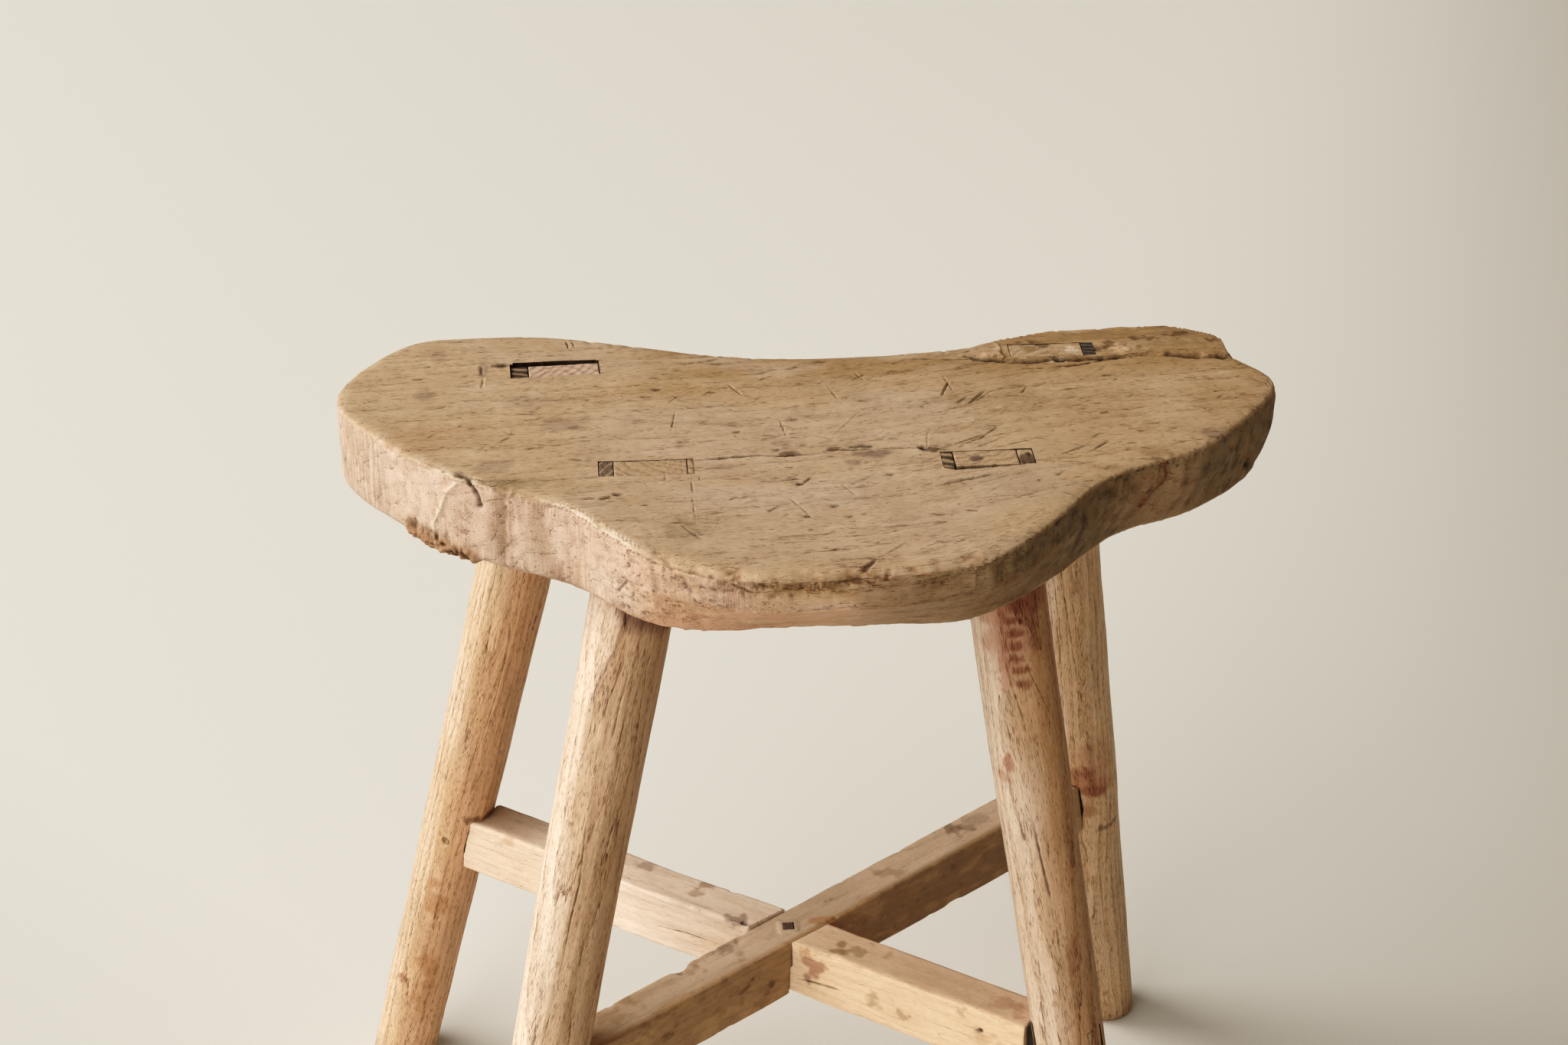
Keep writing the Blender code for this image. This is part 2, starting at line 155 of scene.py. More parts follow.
def add_object(name, mesh):
    obj = bpy.data.objects.new(name, mesh)
    bpy.context.scene.collection.objects.link(obj)
    return obj


def object_from_bmesh(name, bm):
    mesh = bpy.data.meshes.new(name)
    bm.to_mesh(mesh)
    bm.free()
    return add_object(name, mesh)


def cad_bmesh(node):
    """A welded copy of a CAD node's mesh."""
    bm = bmesh.new()
    bm.from_mesh(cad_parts[node].data)
    bmesh.ops.remove_doubles(bm, verts=bm.verts, dist=0.02 * MM)
    bmesh.ops.recalc_face_normals(bm, faces=bm.faces)
    return bm


def hull_object(name, points):
    bm = bmesh.new()
    for point in points:
        bm.verts.new(point)
    made = bmesh.ops.convex_hull(bm, input=bm.verts)
    unused = set(made["geom_interior"] + made["geom_unused"])
    unused = [part for part in unused if isinstance(part, bmesh.types.BMVert)]
    bmesh.ops.delete(bm, geom=unused, context="VERTS")
    bmesh.ops.recalc_face_normals(bm, faces=bm.faces)
    return object_from_bmesh(name, bm)


def swollen(name, node, distance):
    """A CAD node grown by a distance, to cut the space that the piece needs in another."""
    bm = cad_bmesh(node)
    corners = [(v, list(v.link_faces)) for v in bm.verts]
    moved = {}
    for vertex, faces in corners:
        # The three most different faces at a corner settle where its three grown planes meet.
        normals = []
        for face in sorted(faces, key=lambda f: -f.calc_area()):
            if all(face.normal.dot(other) < 0.95 for other in normals):
                normals.append(face.normal.copy())
        offset = Vector()
        if len(normals) >= 3:
            matrix = Matrix(normals[:3])
            if abs(matrix.determinant()) > 0.05:
                offset = matrix.inverted() @ Vector((distance,) * 3)
        if not offset.length:
            offset = vertex.normal * distance
        moved[vertex] = vertex.co + offset.normalized() * min(offset.length, 3 * distance)
    for vertex, place in moved.items():
        vertex.co = place
    return object_from_bmesh(name, bm)


def finished_mesh(obj):
    """Bakes the object's modifiers into its mesh."""
    depsgraph = bpy.context.evaluated_depsgraph_get()
    mesh = bpy.data.meshes.new_from_object(obj.evaluated_get(depsgraph))
    obj.modifiers.clear()
    obj.data = mesh


def boolean(obj, other, operation):
    modifier = obj.modifiers.new(operation, "BOOLEAN")
    modifier.operation = operation
    modifier.solver = "MANIFOLD"
    modifier.material_mode = "TRANSFER"
    modifier.object = other
    finished_mesh(obj)
    bpy.data.objects.remove(other, do_unlink=True)


def voxel_mesh(name, parts, voxel, turn=0.0):
    """One even, closed mesh round several closed objects that overlap. The objects are used up. The voxels
    are turned by an angle about the vertical, to line up with the piece's own faces."""
    bm = bmesh.new()
    for part in parts:
        bm.from_mesh(part.data)
        bpy.data.objects.remove(part, do_unlink=True)
    bm.transform(Matrix.Rotation(-turn, 4, "Z"))
    obj = object_from_bmesh(name, bm)
    modifier = obj.modifiers.new("voxels", "REMESH")
    modifier.mode = "VOXEL"
    modifier.voxel_size = voxel
    finished_mesh(obj)
    obj.data.transform(Matrix.Rotation(turn, 4, "Z"))
    return obj


def even_mesh(node, voxel, turn=0.0, extra=()):
    """An even mesh of a CAD node, joined with any extra objects."""
    parts = [object_from_bmesh("solid", cad_bmesh(node)), *extra]
    return voxel_mesh("look_" + node, parts, voxel, turn)


def nearest_points(points, targets):
    """For each point, the index of the nearest target."""
    tree = KDTree(len(targets))
    for index, target in enumerate(targets):
        tree.insert(target, index)
    tree.balance()
    found = [tree.find(point)[1:] for point in points]
    return np.array([index for index, _ in found]), np.array([gap for _, gap in found])


class Surface:
    """A mesh's points as arrays, and the shape, colour and grain that are worked into them."""

    def __init__(self, obj):
        self.obj = obj
        count = len(obj.data.vertices)
        self.points = self._read("co", count)
        self.normals = self._read("normal", count)
        self.moved = np.zeros((count, 3))
        self.tint = np.zeros((count, 3))
        self.dark = np.zeros(count)  # darkness of cracks, checks and pits, and painted shade in the joints
        self.saw = np.zeros(count)  # how clear the upright saw marks are

    def _read(self, name, count):
        values = np.zeros(count * 3, np.float32)
        self.obj.data.vertices.foreach_get(name, values)
        return values.reshape(-1, 3).astype(float)

    def push(self, distance):
        """Moves each point out along its normal, or in where the distance is negative."""
        self.moved += self.normals * np.asarray(distance)[:, None]

    def paint(self, colour, share):
        self.tint = mix(self.tint, colour, np.clip(share, 0, 1))

    def darken(self, share):
        self.dark = np.maximum(self.dark, share)

    def distance(self, line):
        """Each point's distance from a line of points, and how far along the line it is, in metres."""
        best = np.full(len(self.points), 1.0)
        along = np.zeros(len(self.points))
        margin = 20 * MM
        low, high = np.min(line, axis=0) - margin, np.max(line, axis=0) + margin
        around = np.nonzero(np.all((self.points > low) & (self.points < high), axis=1))[0]
        points = self.points[around]
        walked = 0.0
        for start, end in zip(line, line[1:]):
            start, end = np.asarray(start, float), np.asarray(end, float)
            way = end - start
            length = np.linalg.norm(way)
            share = np.clip((points - start) @ way / length**2, 0, 1)
            gap = np.linalg.norm(points - start - share[:, None] * way, axis=1)
            closer = gap < best[around]
            best[around[closer]] = gap[closer]
            along[around[closer]] = walked + share[closer] * length
            walked += length
        return best, along, walked

    def groove(self, line, width, depth, dark=0.8, seed=0, taper=True, ragged=0.45, lip=0.0):
        """A crack or a scratch: a narrow groove with uneven sides that fades out at its ends. Its half width
        and its depth are in millimetres. Its edges are raised by lip, as a share of its depth."""
        width, depth = width * MM, depth * MM
        gap, along, length = self.distance(line)
        near = gap < 4 * width
        share = np.zeros(len(gap))
        raised = np.zeros(len(gap))
        wander = noise(self.points[near], 3.5, 900 + seed, 2) * ragged * width
        size = np.maximum(width * (1 + 0.5 * noise(self.points[near], 7, 950 + seed)), 0.2 * width)
        share[near] = bell(gap[near] + wander, size)
        raised[near] = bell(gap[near] + wander, 2.2 * size)
        if taper:
            ends = np.minimum(along, length - along) / max(length, 1e-6)
            fade = 0.25 + 0.75 * smooth(ends, 0, 0.25)
            share *= fade
            raised *= fade
        self.push(depth * (lip * raised - (1 + lip) * share))
        self.darken(dark * share)
        return share

    def grooves(self, rows, seed, wider=1.0, darker=1.0, ragged=0.45):
        """A piece's own cracks: half width and depth in millimetres, darkness, and the line's places."""
        for number, (width, depth, dark, *line) in enumerate(rows):
            self.groove(at(*line), width * wider, depth, darker * dark, seed=seed + number, ragged=ragged)

    def blotch(self, centre, size, colour, strength, seed=0, ragged=0.5):
        """A stain with an uneven edge. size is its half length on each axis, in millimetres."""
        offset = (self.points - centre) / (np.array(size) * MM)
        uneven = noise(self.points, min(size) * 1.2, 700 + seed, 2)
        share = strength * smooth(np.linalg.norm(offset, axis=1) + ragged * uneven, 1.25, 0.55)
        self.paint(colour, share)
        return share

    def blotches(self, rows, seed, stronger, ragged):
        """A piece's own stains: centre and half lengths in millimetres, colour and strength."""
        for number, (centre, size, colour, strength) in enumerate(rows):
            place = at(centre)[0]
            self.blotch(place, size, colour, stronger * strength, seed=seed + number, ragged=ragged)

    def finish(self, grain, material, cutters=()):
        """Puts the moved points, the colours and the grain's own coordinates into the mesh, and cuts it.
        grain is a function of the points. The walls of the cuts get the joints' dark material of grime and
        painted shade."""
        mesh = self.obj.data
        mesh.materials.clear()
        mesh.materials.append(material)
        placed = self.points + self.moved
        mesh.vertices.foreach_set("co", placed.astype(np.float32).ravel())
        mesh.update()
        tint, dark, saw = self.tint, self.dark, self.saw
        if cutters:
            for cutter in cutters:
                cutter.data.materials.clear()
                cutter.data.materials.append(bpy.data.materials["joint_grime_and_shade"])
                boolean(self.obj, cutter, "DIFFERENCE")
            mesh = self.obj.data
            points = np.zeros(len(mesh.vertices) * 3, np.float32)
            mesh.vertices.foreach_get("co", points)
            cut_points = points.reshape(-1, 3).astype(float)
            nearest, gap = nearest_points(cut_points, placed)
            inside = smooth(gap, 1.5 * MM, 6 * MM)
            tint, saw = tint[nearest], saw[nearest]
            dark = dark[nearest] * (1 - inside)
            placed = cut_points
        colours = np.ones((len(placed), 4), np.float32)
        colours[:, :3] = np.clip(tint, 0, 1)
        for name, kind, key, values in (
            ("tint", "FLOAT_COLOR", "color", colours),
            ("grain", "FLOAT_VECTOR", "vector", grain(placed).astype(np.float32)),
            ("dark", "FLOAT", "value", np.clip(dark, 0, 1).astype(np.float32)),
            ("saw", "FLOAT", "value", np.clip(saw, 0, 1).astype(np.float32)),
        ):
            mesh.attributes.new(name, kind, "POINT").data.foreach_set(key, values.ravel())
        mesh.shade_smooth()
        mesh.set_sharp_from_angle(angle=math.radians(50))
        mesh.update()


def face_centres(mesh):
    centres = np.zeros(len(mesh.polygons) * 3, np.float32)
    mesh.polygons.foreach_get("center", centres)
    return centres.reshape(-1, 3).astype(float)


def refine(obj, near, cuts):
    """Splits the faces that near marks, so that small shapes have enough points there."""
    bm = bmesh.new()
    bm.from_mesh(obj.data)
    bm.faces.ensure_lookup_table()
    edges = {edge for i in np.nonzero(near)[0] for edge in bm.faces[i].edges}
    bmesh.ops.subdivide_edges(bm, edges=list(edges), cuts=cuts, use_grid_fill=True)
    bmesh.ops.triangulate(bm, faces=[face for face in bm.faces if len(face.verts) > 4])
    bm.to_mesh(obj.data)
    bm.free()
    obj.data.update()


def refine_near(obj, lines, reach, cuts):
    """Splits the faces near some lines."""
    centres = face_centres(obj.data)
    near = np.zeros(len(centres), bool)
    for line in lines:
        for start, end in zip(line, line[1:]):
            start, end = np.asarray(start, float), np.asarray(end, float)
            way = end - start
            share = np.clip((centres - start) @ way / max(way @ way, 1e-12), 0, 1)
            near |= np.linalg.norm(centres - start - share[:, None] * way, axis=1) < reach
    refine(obj, near, cuts)


# ---------------------------------------------------------------------------------------------------
# The legs' and stretchers' places


@dataclass
class Leg:
    """A leg of the CAD model. Its sizes are in millimetres, as (x, y) or from its axis."""

    name: str
    top: tuple  # the axis at the level of the seat's top
    foot: tuple  # the axis on the floor
    top_radius: float
    foot_radius: float
    turn: float  # the mortise's angle from +X
    tenon: tuple  # its left and right ends
    mortise_bottom: tuple  # the mortise's ends at the level of the seat's underside
    mortise_top: tuple
    packing: tuple
    seed: int

    def axis(self, height):
        """The point on the leg's centre line at each height."""
        share = np.asarray(height, float)[..., None] / SEAT_TOP
        low = np.array((self.foot[0] * MM, self.foot[1] * MM, 0))
        high = np.array((self.top[0] * MM, self.top[1] * MM, SEAT_TOP))
        return low + (high - low) * share

    def radius(self, height):
        return (self.foot_radius + (self.top_radius - self.foot_radius) * height / SEAT_TOP) * MM

    def directions(self):
        """The level way the leg leans out, the level way across that, and the way up along the leg."""
        up = self.axis(1.0) - self.axis(0.0)
        up /= np.linalg.norm(up)
        lean = -up * (1, 1, 0) / np.linalg.norm(up[:2])
        return lean, np.cross((0, 0, 1), lean), up

    def section(self, ends, half_depth, height):
        """The four corners of a level rectangle in the mortise's directions."""
        along = np.array((math.cos(self.turn), math.sin(self.turn), 0))
        across = np.array((-along[1], along[0], 0))
        centre = self.axis(height)
        near, far = -half_depth, half_depth
        corners = ((ends[0], near), (ends[1], near), (ends[1], far), (ends[0], far))
        return [centre + (along * x + across * y) * MM for x, y in corners]


LEGS = {
    "back_left": Leg(
        "leg_back_left",
        top=(-111.6, 54.2),
        foot=(-223.1, 140.9),
        top_radius=20.9,
        foot_radius=18.4,
        turn=0.034,
        tenon=(-16.0, 19.3),
        mortise_bottom=(-18.8, 19.6),
        mortise_top=(-25.3, 19.6),
        packing=("wedge_back_left",),
        seed=1,
    ),
    "front_left": Leg(
        "leg_front_left",
        top=(-68.6, -52.7),
        foot=(-172.8, -138.8),
        top_radius=21.1,
        foot_radius=18.4,
        turn=-0.014,
        tenon=(-20.5, 14.0),
        mortise_bottom=(-23.3, 15.9),
        mortise_top=(-27.8, 17.3),
        packing=("wedge_front_left", "shim_front_left"),
        seed=2,
    ),
    "front_right": Leg(
        "leg_front_right",
        top=(87.7, -56.3),
        foot=(162.1, -144.8),
        top_radius=19.6,
        foot_radius=17.6,
        turn=-0.016,
        tenon=(-16.0, 14.5),
        mortise_bottom=(-18.8, 18.3),
        mortise_top=(-22.3, 22.3),
        packing=("wedge_front_right", "filler_front_right"),
        seed=3,
    ),
    "back_right": Leg(
        "leg_back_right",
        top=(134.5, 54.8),
        foot=(214.0, 145.4),
        top_radius=21.0,
        foot_radius=18.3,
        turn=-0.010,
        tenon=(-18.5, 18.8),
        mortise_bottom=(-18.8, 21.6),
        mortise_top=(-18.8, 26.1),
        packing=("wedge_back_right",),
        seed=4,
    ),
}

# ---------------------------------------------------------------------------------------------------
# Places and marks on the seat


def on_top(*places):
    """A line on the seat's top, from (x, y) places in millimetres."""
    return [(x * MM, y * MM, SEAT_TOP) for x, y in places]


def at(*places):
    """A line through (x, y, z) places in millimetres."""
    return [(x * MM, y * MM, z * MM) for x, y, z in places]


# Cracks and scratches in the seat's top: half width and depth in millimetres, darkness, and the line's
# places. The first three are the long crack between the front mortises.
TOP_LINES = [
    (0.45, 1.1, 0.9, (-51, -47), (-34, -46), (-20, -45), (-8, -47), (1, -46), (9, -45)),
    (0.35, 0.8, 0.75, (9, -45), (15, -42), (26, -43), (43, -43), (58, -43)),
    (0.9, 1.6, 1.0, (57, -42), (60, -46)),
    (0.5, 0.9, 0.8, (-108, 86), (-107, 77)),
    (0.4, 0.8, 0.7, (-105, 86), (-104, 78)),
    (0.9, 0.7, 0.45, (-151, 61), (-151, 50)),
    (0.7, 0.6, 0.10, (-150, 47), (-151, 36)),
    (1.0, 0.5, 0.75, (-145, 60), (-139, 60)),
    (0.5, 0.9, 0.9, (-110, -42), (-103, -43)),
    (0.7, 1.0, 0.75, (-104, -81), (-98, -81)),
    (0.8, 1.3, 0.95, (-97, -82), (-91, -80)),
    (0.35, 0.6, 0.75, (-57, 4), (-60, -16)),
    (0.3, 0.4, 0.6, (-60, 13), (-54, 21)),
    (0.5, 0.6, 0.7, (-162, -5), (-160, -2)),
    (0.8, 1.6, 0.85, (-48, 56), (-39, 57), (-30, 60)),
    (0.7, 1.4, 0.7, (-40, 63), (-22, 62)),
    (0.7, 1.0, 0.6, (-29, 31), (-23, 19)),
    (0.7, 0.8, 0.9, (-40, 23), (-35, 23)),
    (0.4, 0.7, 0.75, (-14, 34), (-5, 39)),
    (0.5, 0.6, 0.6, (33, 31), (41, 37)),
    (0.5, 0.7, 0.6, (35, 39), (39, 30)),
    (0.4, 0.6, 0.5, (20, 26), (24, 10)),
    (0.3, 0.5, 0.6, (-7, -9), (-5, -28)),
    (0.3, 0.4, 0.5, (33, -3), (16, -30)),
    (0.6, 0.9, 0.6, (81, 25), (75, 9)),
    (0.4, 0.6, 0.5, (79, 30), (82, 13)),
    (0.5, 0.7, 0.6, (88, 8), (81, 1)),
    (0.5, 0.8, 0.75, (98, 14), (86, -1)),
    (0.4, 0.6, 0.7, (102, 14), (89, 1)),
    (0.5, 0.7, 0.6, (119, 16), (115, 9)),
    (0.4, 0.8, 0.75, (63, -47), (77, -40), (96, -29)),
    (0.4, 0.8, 0.7, (74, -45), (88, -36), (101, -22)),
    (0.35, 0.6, 0.6, (83, -46), (98, -37)),
    (0.35, 0.5, 0.5, (63, -28), (60, -47)),
    (0.6, 1.0, 0.75, (60, -82), (72, -78), (90, -73)),
    (0.4, 0.7, 0.6, (66, -79), (81, -75), (92, -71)),
    (0.3, 0.4, 0.5, (-53, -58), (-54, -86), (-54, -108)),
    (0.25, 0.3, 0.35, (-49, -57), (-50, -72)),
    (0.25, 0.3, 0.35, (-65, -57), (-66, -70)),
    (0.5, 0.7, 0.8, (-3, -76), (3, -69)),
    (0.35, 0.5, 0.4, (-10, -87), (-1, -108)),
    (0.4, 0.5, 0.4, (16, -78), (21, -88)),
    (0.9, 0.5, 0.45, (-61, -110), (-53, -123)),
    (0.9, 1.2, 0.8, (16, -157), (24, -147)),
    (0.35, 0.5, 0.55, (24, -147), (39, -134)),
    (0.3, 0.5, 0.5, (-36, -133), (-11, -129), (16, -129)),
    (0.4, 0.6, 0.7, (4, -145), (17, -146), (31, -148)),
    (0.35, 0.6, 0.65, (-20, -31), (-8, -25), (6, -23)),
    (0.35, 0.5, 0.6, (-58, -29), (-47, -23)),
    (0.5, 0.7, 0.8, (176, 7), (183, 8)),
    (0.7, 0.8, 0.8, (150, -15), (155, -15)),
    (0.4, 0.8, 0.7, (122, -57), (140, -46)),
    (0.4, 0.7, 0.7, (137, -55), (149, -44)),
    (0.3, 0.5, 0.5, (75, -96), (93, -94)),
    (0.3, 0.5, 0.5, (78, 5), (108, 7), (136, 2)),
    (0.35, 0.6, 0.6, (109, -60), (124, -63), (138, -65)),
    (0.7, 0.8, 0.7, (232, 15), (240, 7)),
    (0.5, 0.7, 0.6, (-130, -62), (-150, -60), (-158, -55)),
]
LONG_CRACK_ROWS = 3
TOP_PITS = [(-65, 28), (-11, -40), (-29, -20), (-3, -75), (10, -98), (16, -108), (-3, -106)]
TOP_PITS += [(40, -69), (-88, -78)]
SMALL_SCRATCHES = 140  # how many are scattered over the top
# Stains on the top: x, y, half length along x and along y in millimetres, colour, strength
TOP_STAINS = [
    (-6, -45, 5, 2.5, DARK_BROWN, 0.7),
    (16, -41, 4, 3, DARK_BROWN, 0.6),
    (29, -40, 6, 2, NEARLY_BLACK, 0.7),
    (35, -48, 10, 3.5, PLUM_GREY, 0.8),
    (24, -55, 5, 4, PLUM_GREY, 0.6),
    (-8, -33, 5, 3, PLUM_GREY, 0.4),
    (64, -46, 5, 2.5, DARK_BROWN, 0.8),
    (-142, 60, 5, 2.5, DARK_BROWN, 0.8),
    (-178, 31, 6, 6, PLUM_GREY, 0.50),
    (-173, 73, 6, 6, PLUM_GREY, 0.35),
    (-151, 55, 3, 8, PLUM_GREY, 0.6),
    (-128, 21, 13, 8, PLUM_GREY, 0.30),
    (-146, -47, 9, 6, PLUM_GREY, 0.35),
    (-112, -5, 11, 8, PLUM_GREY, 0.35),
    (-180, -18, 22, 12, ORANGE_BROWN, 0.22),
    (-60, 30, 38, 12, OCHRE, 0.45),
    (-58, -116, 10, 12, OLIVE_BROWN, 0.50),
    (-8, 15, 30, 10, OCHRE, 0.25),
    (200, -42, 8, 4, PLUM_GREY, 0.5),
    (168, -59, 8, 3, UMBER, 0.5),
    (143, -71, 9, 3, UMBER, 0.5),
    (235, 10, 5, 6, UMBER, 0.5),
    (-140, -64, 26, 5, OLIVE_BROWN, 0.5),
    (95, 8, 28, 14, UMBER, 0.22),
    (110, 5, 60, 6, OLIVE_BROWN, 0.25),
]

# The crack that parts the worn strip along the back right edge from the rest of the top
STRIP_LINE = on_top((94, 52), (103, 47), (112, 45), (123, 44), (135, 44.5), (151, 44))
STRIP_LINE += on_top((169, 44.5), (187, 47), (206, 43), (232, 39))
LOWER_CRACK = on_top((120, 36), (132, 35), (142, 36.5), (152, 38.5), (160, 40.5), (168, 43))
LEFT_CRACK = on_top((62, 52), (81, 49.5), (98, 48.5))
STRIP_CLEFT = at((212, 42, 501), (222, 40, 499), (232, 39, 496), (241, 40, 491))
STRIP_KNOT = on_top((138, 42.5), (142, 42))
STRIP_MARKS = on_top((128, 66), (138, 46.5), (163, 56), (171, 59), (181, 66), (192, 66))
STRIP_MARKS += on_top((207, 70), (224, 60))
STRIP_LUMPS = on_top((106, 52), (118, 49), (176, 53))

# Lines on the seat's sides
RIDGE_CRACK = at((-160, -56, 502), (-168, -51, 493), (-171, -48, 483), (-175, -44, 472), (-174, -45, 464))
NOTCH_CRACK = at((-158, -56, 503), (-155, -60, 499), (-153, -62, 495), (-152, -62, 491))
SIDE_STREAK = at((-141, -70, 502), (-142, -69, 488), (-142, -69, 462))
SIDE_STEP = at((-137, -71, 502), (-139, -71, 484), (-139, -70, 461))
PALE_CHIP = at((-112, -87, 502), (-102, -101, 501), (-96, -110, 501), (-89, -118, 502), (-82, -128, 502))
LOBE_EDGE = at((-76, -133, 502), (-75, -136, 488), (-75, -131, 470))
LOBE_EDGE_RIGHT = at((-50, -154, 498), (-48, -149, 486), (-47, -147, 474))
LOBE_CRACK = at((-83, -128, 490), (-92, -113, 469))
BARK = at((-186, -32, 463), (-177, -41, 463), (-168, -49, 462), (-159, -56, 461))
RIM_SHADOW = at((-44, -156, 499), (-26, -161, 498.5), (-3, -161, 498.5), (12, -160, 500), (28, -158, 500.5))
ORANGE_CRACK = at((170, -65, 502), (172, -65, 492), (167, -67, 487), (164, -67, 483))
ORANGE_CRACK += at((161, -65, 476), (156, -66, 466))
SIDE_PIT = at((225, -17, 471), (227, -14, 469))


# ---------------------------------------------------------------------------------------------------
# Seat


def mortise_block(name, leg, spare, past, level=SEAT_TOP):
    """The space of a leg's mortise in the seat, grown sideways and made longer at both ends."""
    half_depth = MORTISE_HALF_DEPTH + spare
    corners = []
    for ends, height, way in ((leg.mortise_bottom, SEAT_BOTTOM, -1), (leg.mortise_top, level, 1)):
        grown = (ends[0] - spare, ends[1] + spare)
        corners += leg.section(grown, half_depth, height)
        if past:
            corners += leg.section(grown, half_depth, height + way * past)
    return hull_object(name, corners)


# Gaps beside two of the tenons, where the fit is loose: corners from the leg's axis, in millimetres
LOOSE_FITS = {
    "back_left": ((-24, 6.5), (18, 6.5), (18, 8.8), (2, 9.2), (-14, 8.6), (-24, 8.6)),
    "front_right": ((-22, -6.5), (-22, -8.6), (-17, -11.2), (-8, -10.8), (6, -9.4), (17, -8.2), (17, -6.5)),
}


# How much wider each mortise is than the CAD model's. Where it is less, grime hides the joint's outline.
MORTISE_SPARE = {"back_left": 0.0, "front_left": 0.0, "front_right": -0.15, "back_right": -0.5}


def mortise_cutters():
    """The spaces in the seat for the tenons, with the gaps beside the loose ones."""
    cutters = []
    for place, leg in LEGS.items():
        cutters.append(mortise_block("mortise", leg, MORTISE_SPARE[place], CUT_PAST))
        rings = []
        for height in (SEAT_BOTTOM + CUT_PAST, SEAT_TOP + CUT_PAST):
            rings += [leg.axis(height) + (x * MM, y * MM, 0) for x, y in LOOSE_FITS.get(place, ())]
        if rings:
            cutters.append(hull_object("loose_fit", rings))
    return cutters


def seat_object():
    """The seat with its mortises filled, as one even mesh that is finer along the cracks."""
    plugs = [mortise_block("plug", leg, 0.5, 0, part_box(leg.name)[1].z) for leg in LEGS.values()]
    seat = even_mesh("seat", SEAT_VOXEL, extra=plugs)
    lines = [on_top(*line) for _, _, _, *line in TOP_LINES]
    lines += [STRIP_LINE, LOWER_CRACK, LEFT_CRACK, RIDGE_CRACK, NOTCH_CRACK]
    lines += [PALE_CHIP, LOBE_CRACK, RIM_SHADOW, ORANGE_CRACK, BARK]
    refine_near(seat, lines, 1.5 * SEAT_VOXEL, 2)
    # The torn front and the pitted lobe at the left need more points too.
    centres = face_centres(seat.data)
    x, y, z = centres.T
    front = (y < -0.118) & (z > SEAT_TOP - 16 * MM)
    lobe = (x < -0.045) & (y < -0.095) & (z < SEAT_TOP - 1 * MM) & (z > SEAT_BOTTOM + 1 * MM)
    arris = (z > SEAT_TOP - 3.4 * MM) & (z < SEAT_TOP - 0.2 * MM)
    refine(seat, front & (z < SEAT_TOP - 0.5 * MM) | lobe | arris, 1)
    return seat


def distance_to_side(surface, side):
    """How far each point is, in plan, from the nearest point of the seat's side."""
    z = surface.points[:, 2]
    on_side = np.nonzero((side > 0.5) & (z > SEAT_TOP - 16 * MM) & (z < SEAT_TOP - 5 * MM))[0]
    tree = KDTree(len(on_side))
    for index in on_side:
        x, y, _ = surface.points[index]
        tree.insert((x, y, 0), int(index))
    tree.balance()
    result = np.full(len(side), 1.0)
    for index in np.nonzero(surface.points[:, 2] > SEAT_TOP - 6 * MM)[0]:
        x, y, _ = surface.points[index]
        result[index] = tree.find((x, y, 0))[2]
    return result


def worn_height(points):
    """How far the seat's top has worn down or swollen up at each point. The tenons follow it."""
    x, y, _ = points.T
    hollow = np.exp(-((x / 0.15) ** 2) - ((y + 0.02) / 0.09) ** 2)
    return -0.9 * MM * hollow + 0.45 * MM * noise(points * (1, 1, 0), 70, 1)


# Turns places a little, so that the noise's own lattice doesn't line up with the seat's edge.
SKEW = np.array(Matrix.Rotation(0.5, 3, (0.3, 0.4, 1.0)))


def front_share(points):
    """1 along the front, where the top edge is worn round and torn."""
    x, y, _ = points.T
    return smooth(y, -0.120, -0.148) * smooth(abs(x + 0.005), 0.095, 0.060)


def hew_sides(surface, side):
    """The sides are hewn: broad flats and small pits, with a more pitted lobe at the left."""
    points = surface.points
    x = points[:, 0]
    hewn = 0.7 * MM * noise(points, (34, 34, 60), 6, 2)
    hewn += 0.12 * MM * noise(points, (3, 3, 40), 5, 2) + 0.20 * MM * noise(points, 8, 7, 2)
    pits = patches(points, 2.6, 8, 0.75, 1.10)
    surface.push(side * (hewn - 0.6 * MM * pits))
    surface.darken(0.35 * pits * side)
    surface.saw = side * patches(points, 30, 13, -0.6, 0.3) * smooth(surface.normals[:, 0], 0.0, -0.3)
    lobe = side * smooth(x, -0.105, -0.085) * smooth(x, -0.035, -0.055)
    pores = patches(points, 2.2, 14, 0.25, 0.75)
    surface.push(lobe * (0.5 * MM * noise(points, 5, 15, 2) - 0.55 * MM * pores))
    surface.darken(0.42 * pores * lobe)
    rugged = side * smooth(surface.normals[:, 0], 0.2, 0.5)
    surface.push(rugged * (0.9 * MM * noise(points, (13, 13, 16), 16, 3)))


def chip_edges(surface, side, top, rim, front, arris):
    """The top edge is crisp on the left and the right, and small chips are gone from it."""
    x, y, z = surface.points.T
    points = surface.points
    surface.push(1.2 * MM * arris * (1 - front))
    near_edge = np.exp(-rim / (2.5 * MM)) * (top + side * smooth(z, SEAT_TOP - 6 * MM, SEAT_TOP - 2 * MM))
    near_edge = np.maximum(near_edge, arris)
    chips = patches(points, 7, 10, 0.55, 1.0) * (1 - smooth(x, 0.09, 0.12) * smooth(y, 0.04, 0.06))
    surface.push(-1.6 * MM * chips * near_edge)
    nicks = patches(points, 3.0, 17, 0.45, 0.8, 1) * arris
    surface.push(-0.3 * MM * nicks)
    surface.paint(UMBER, 0.5 * nicks)


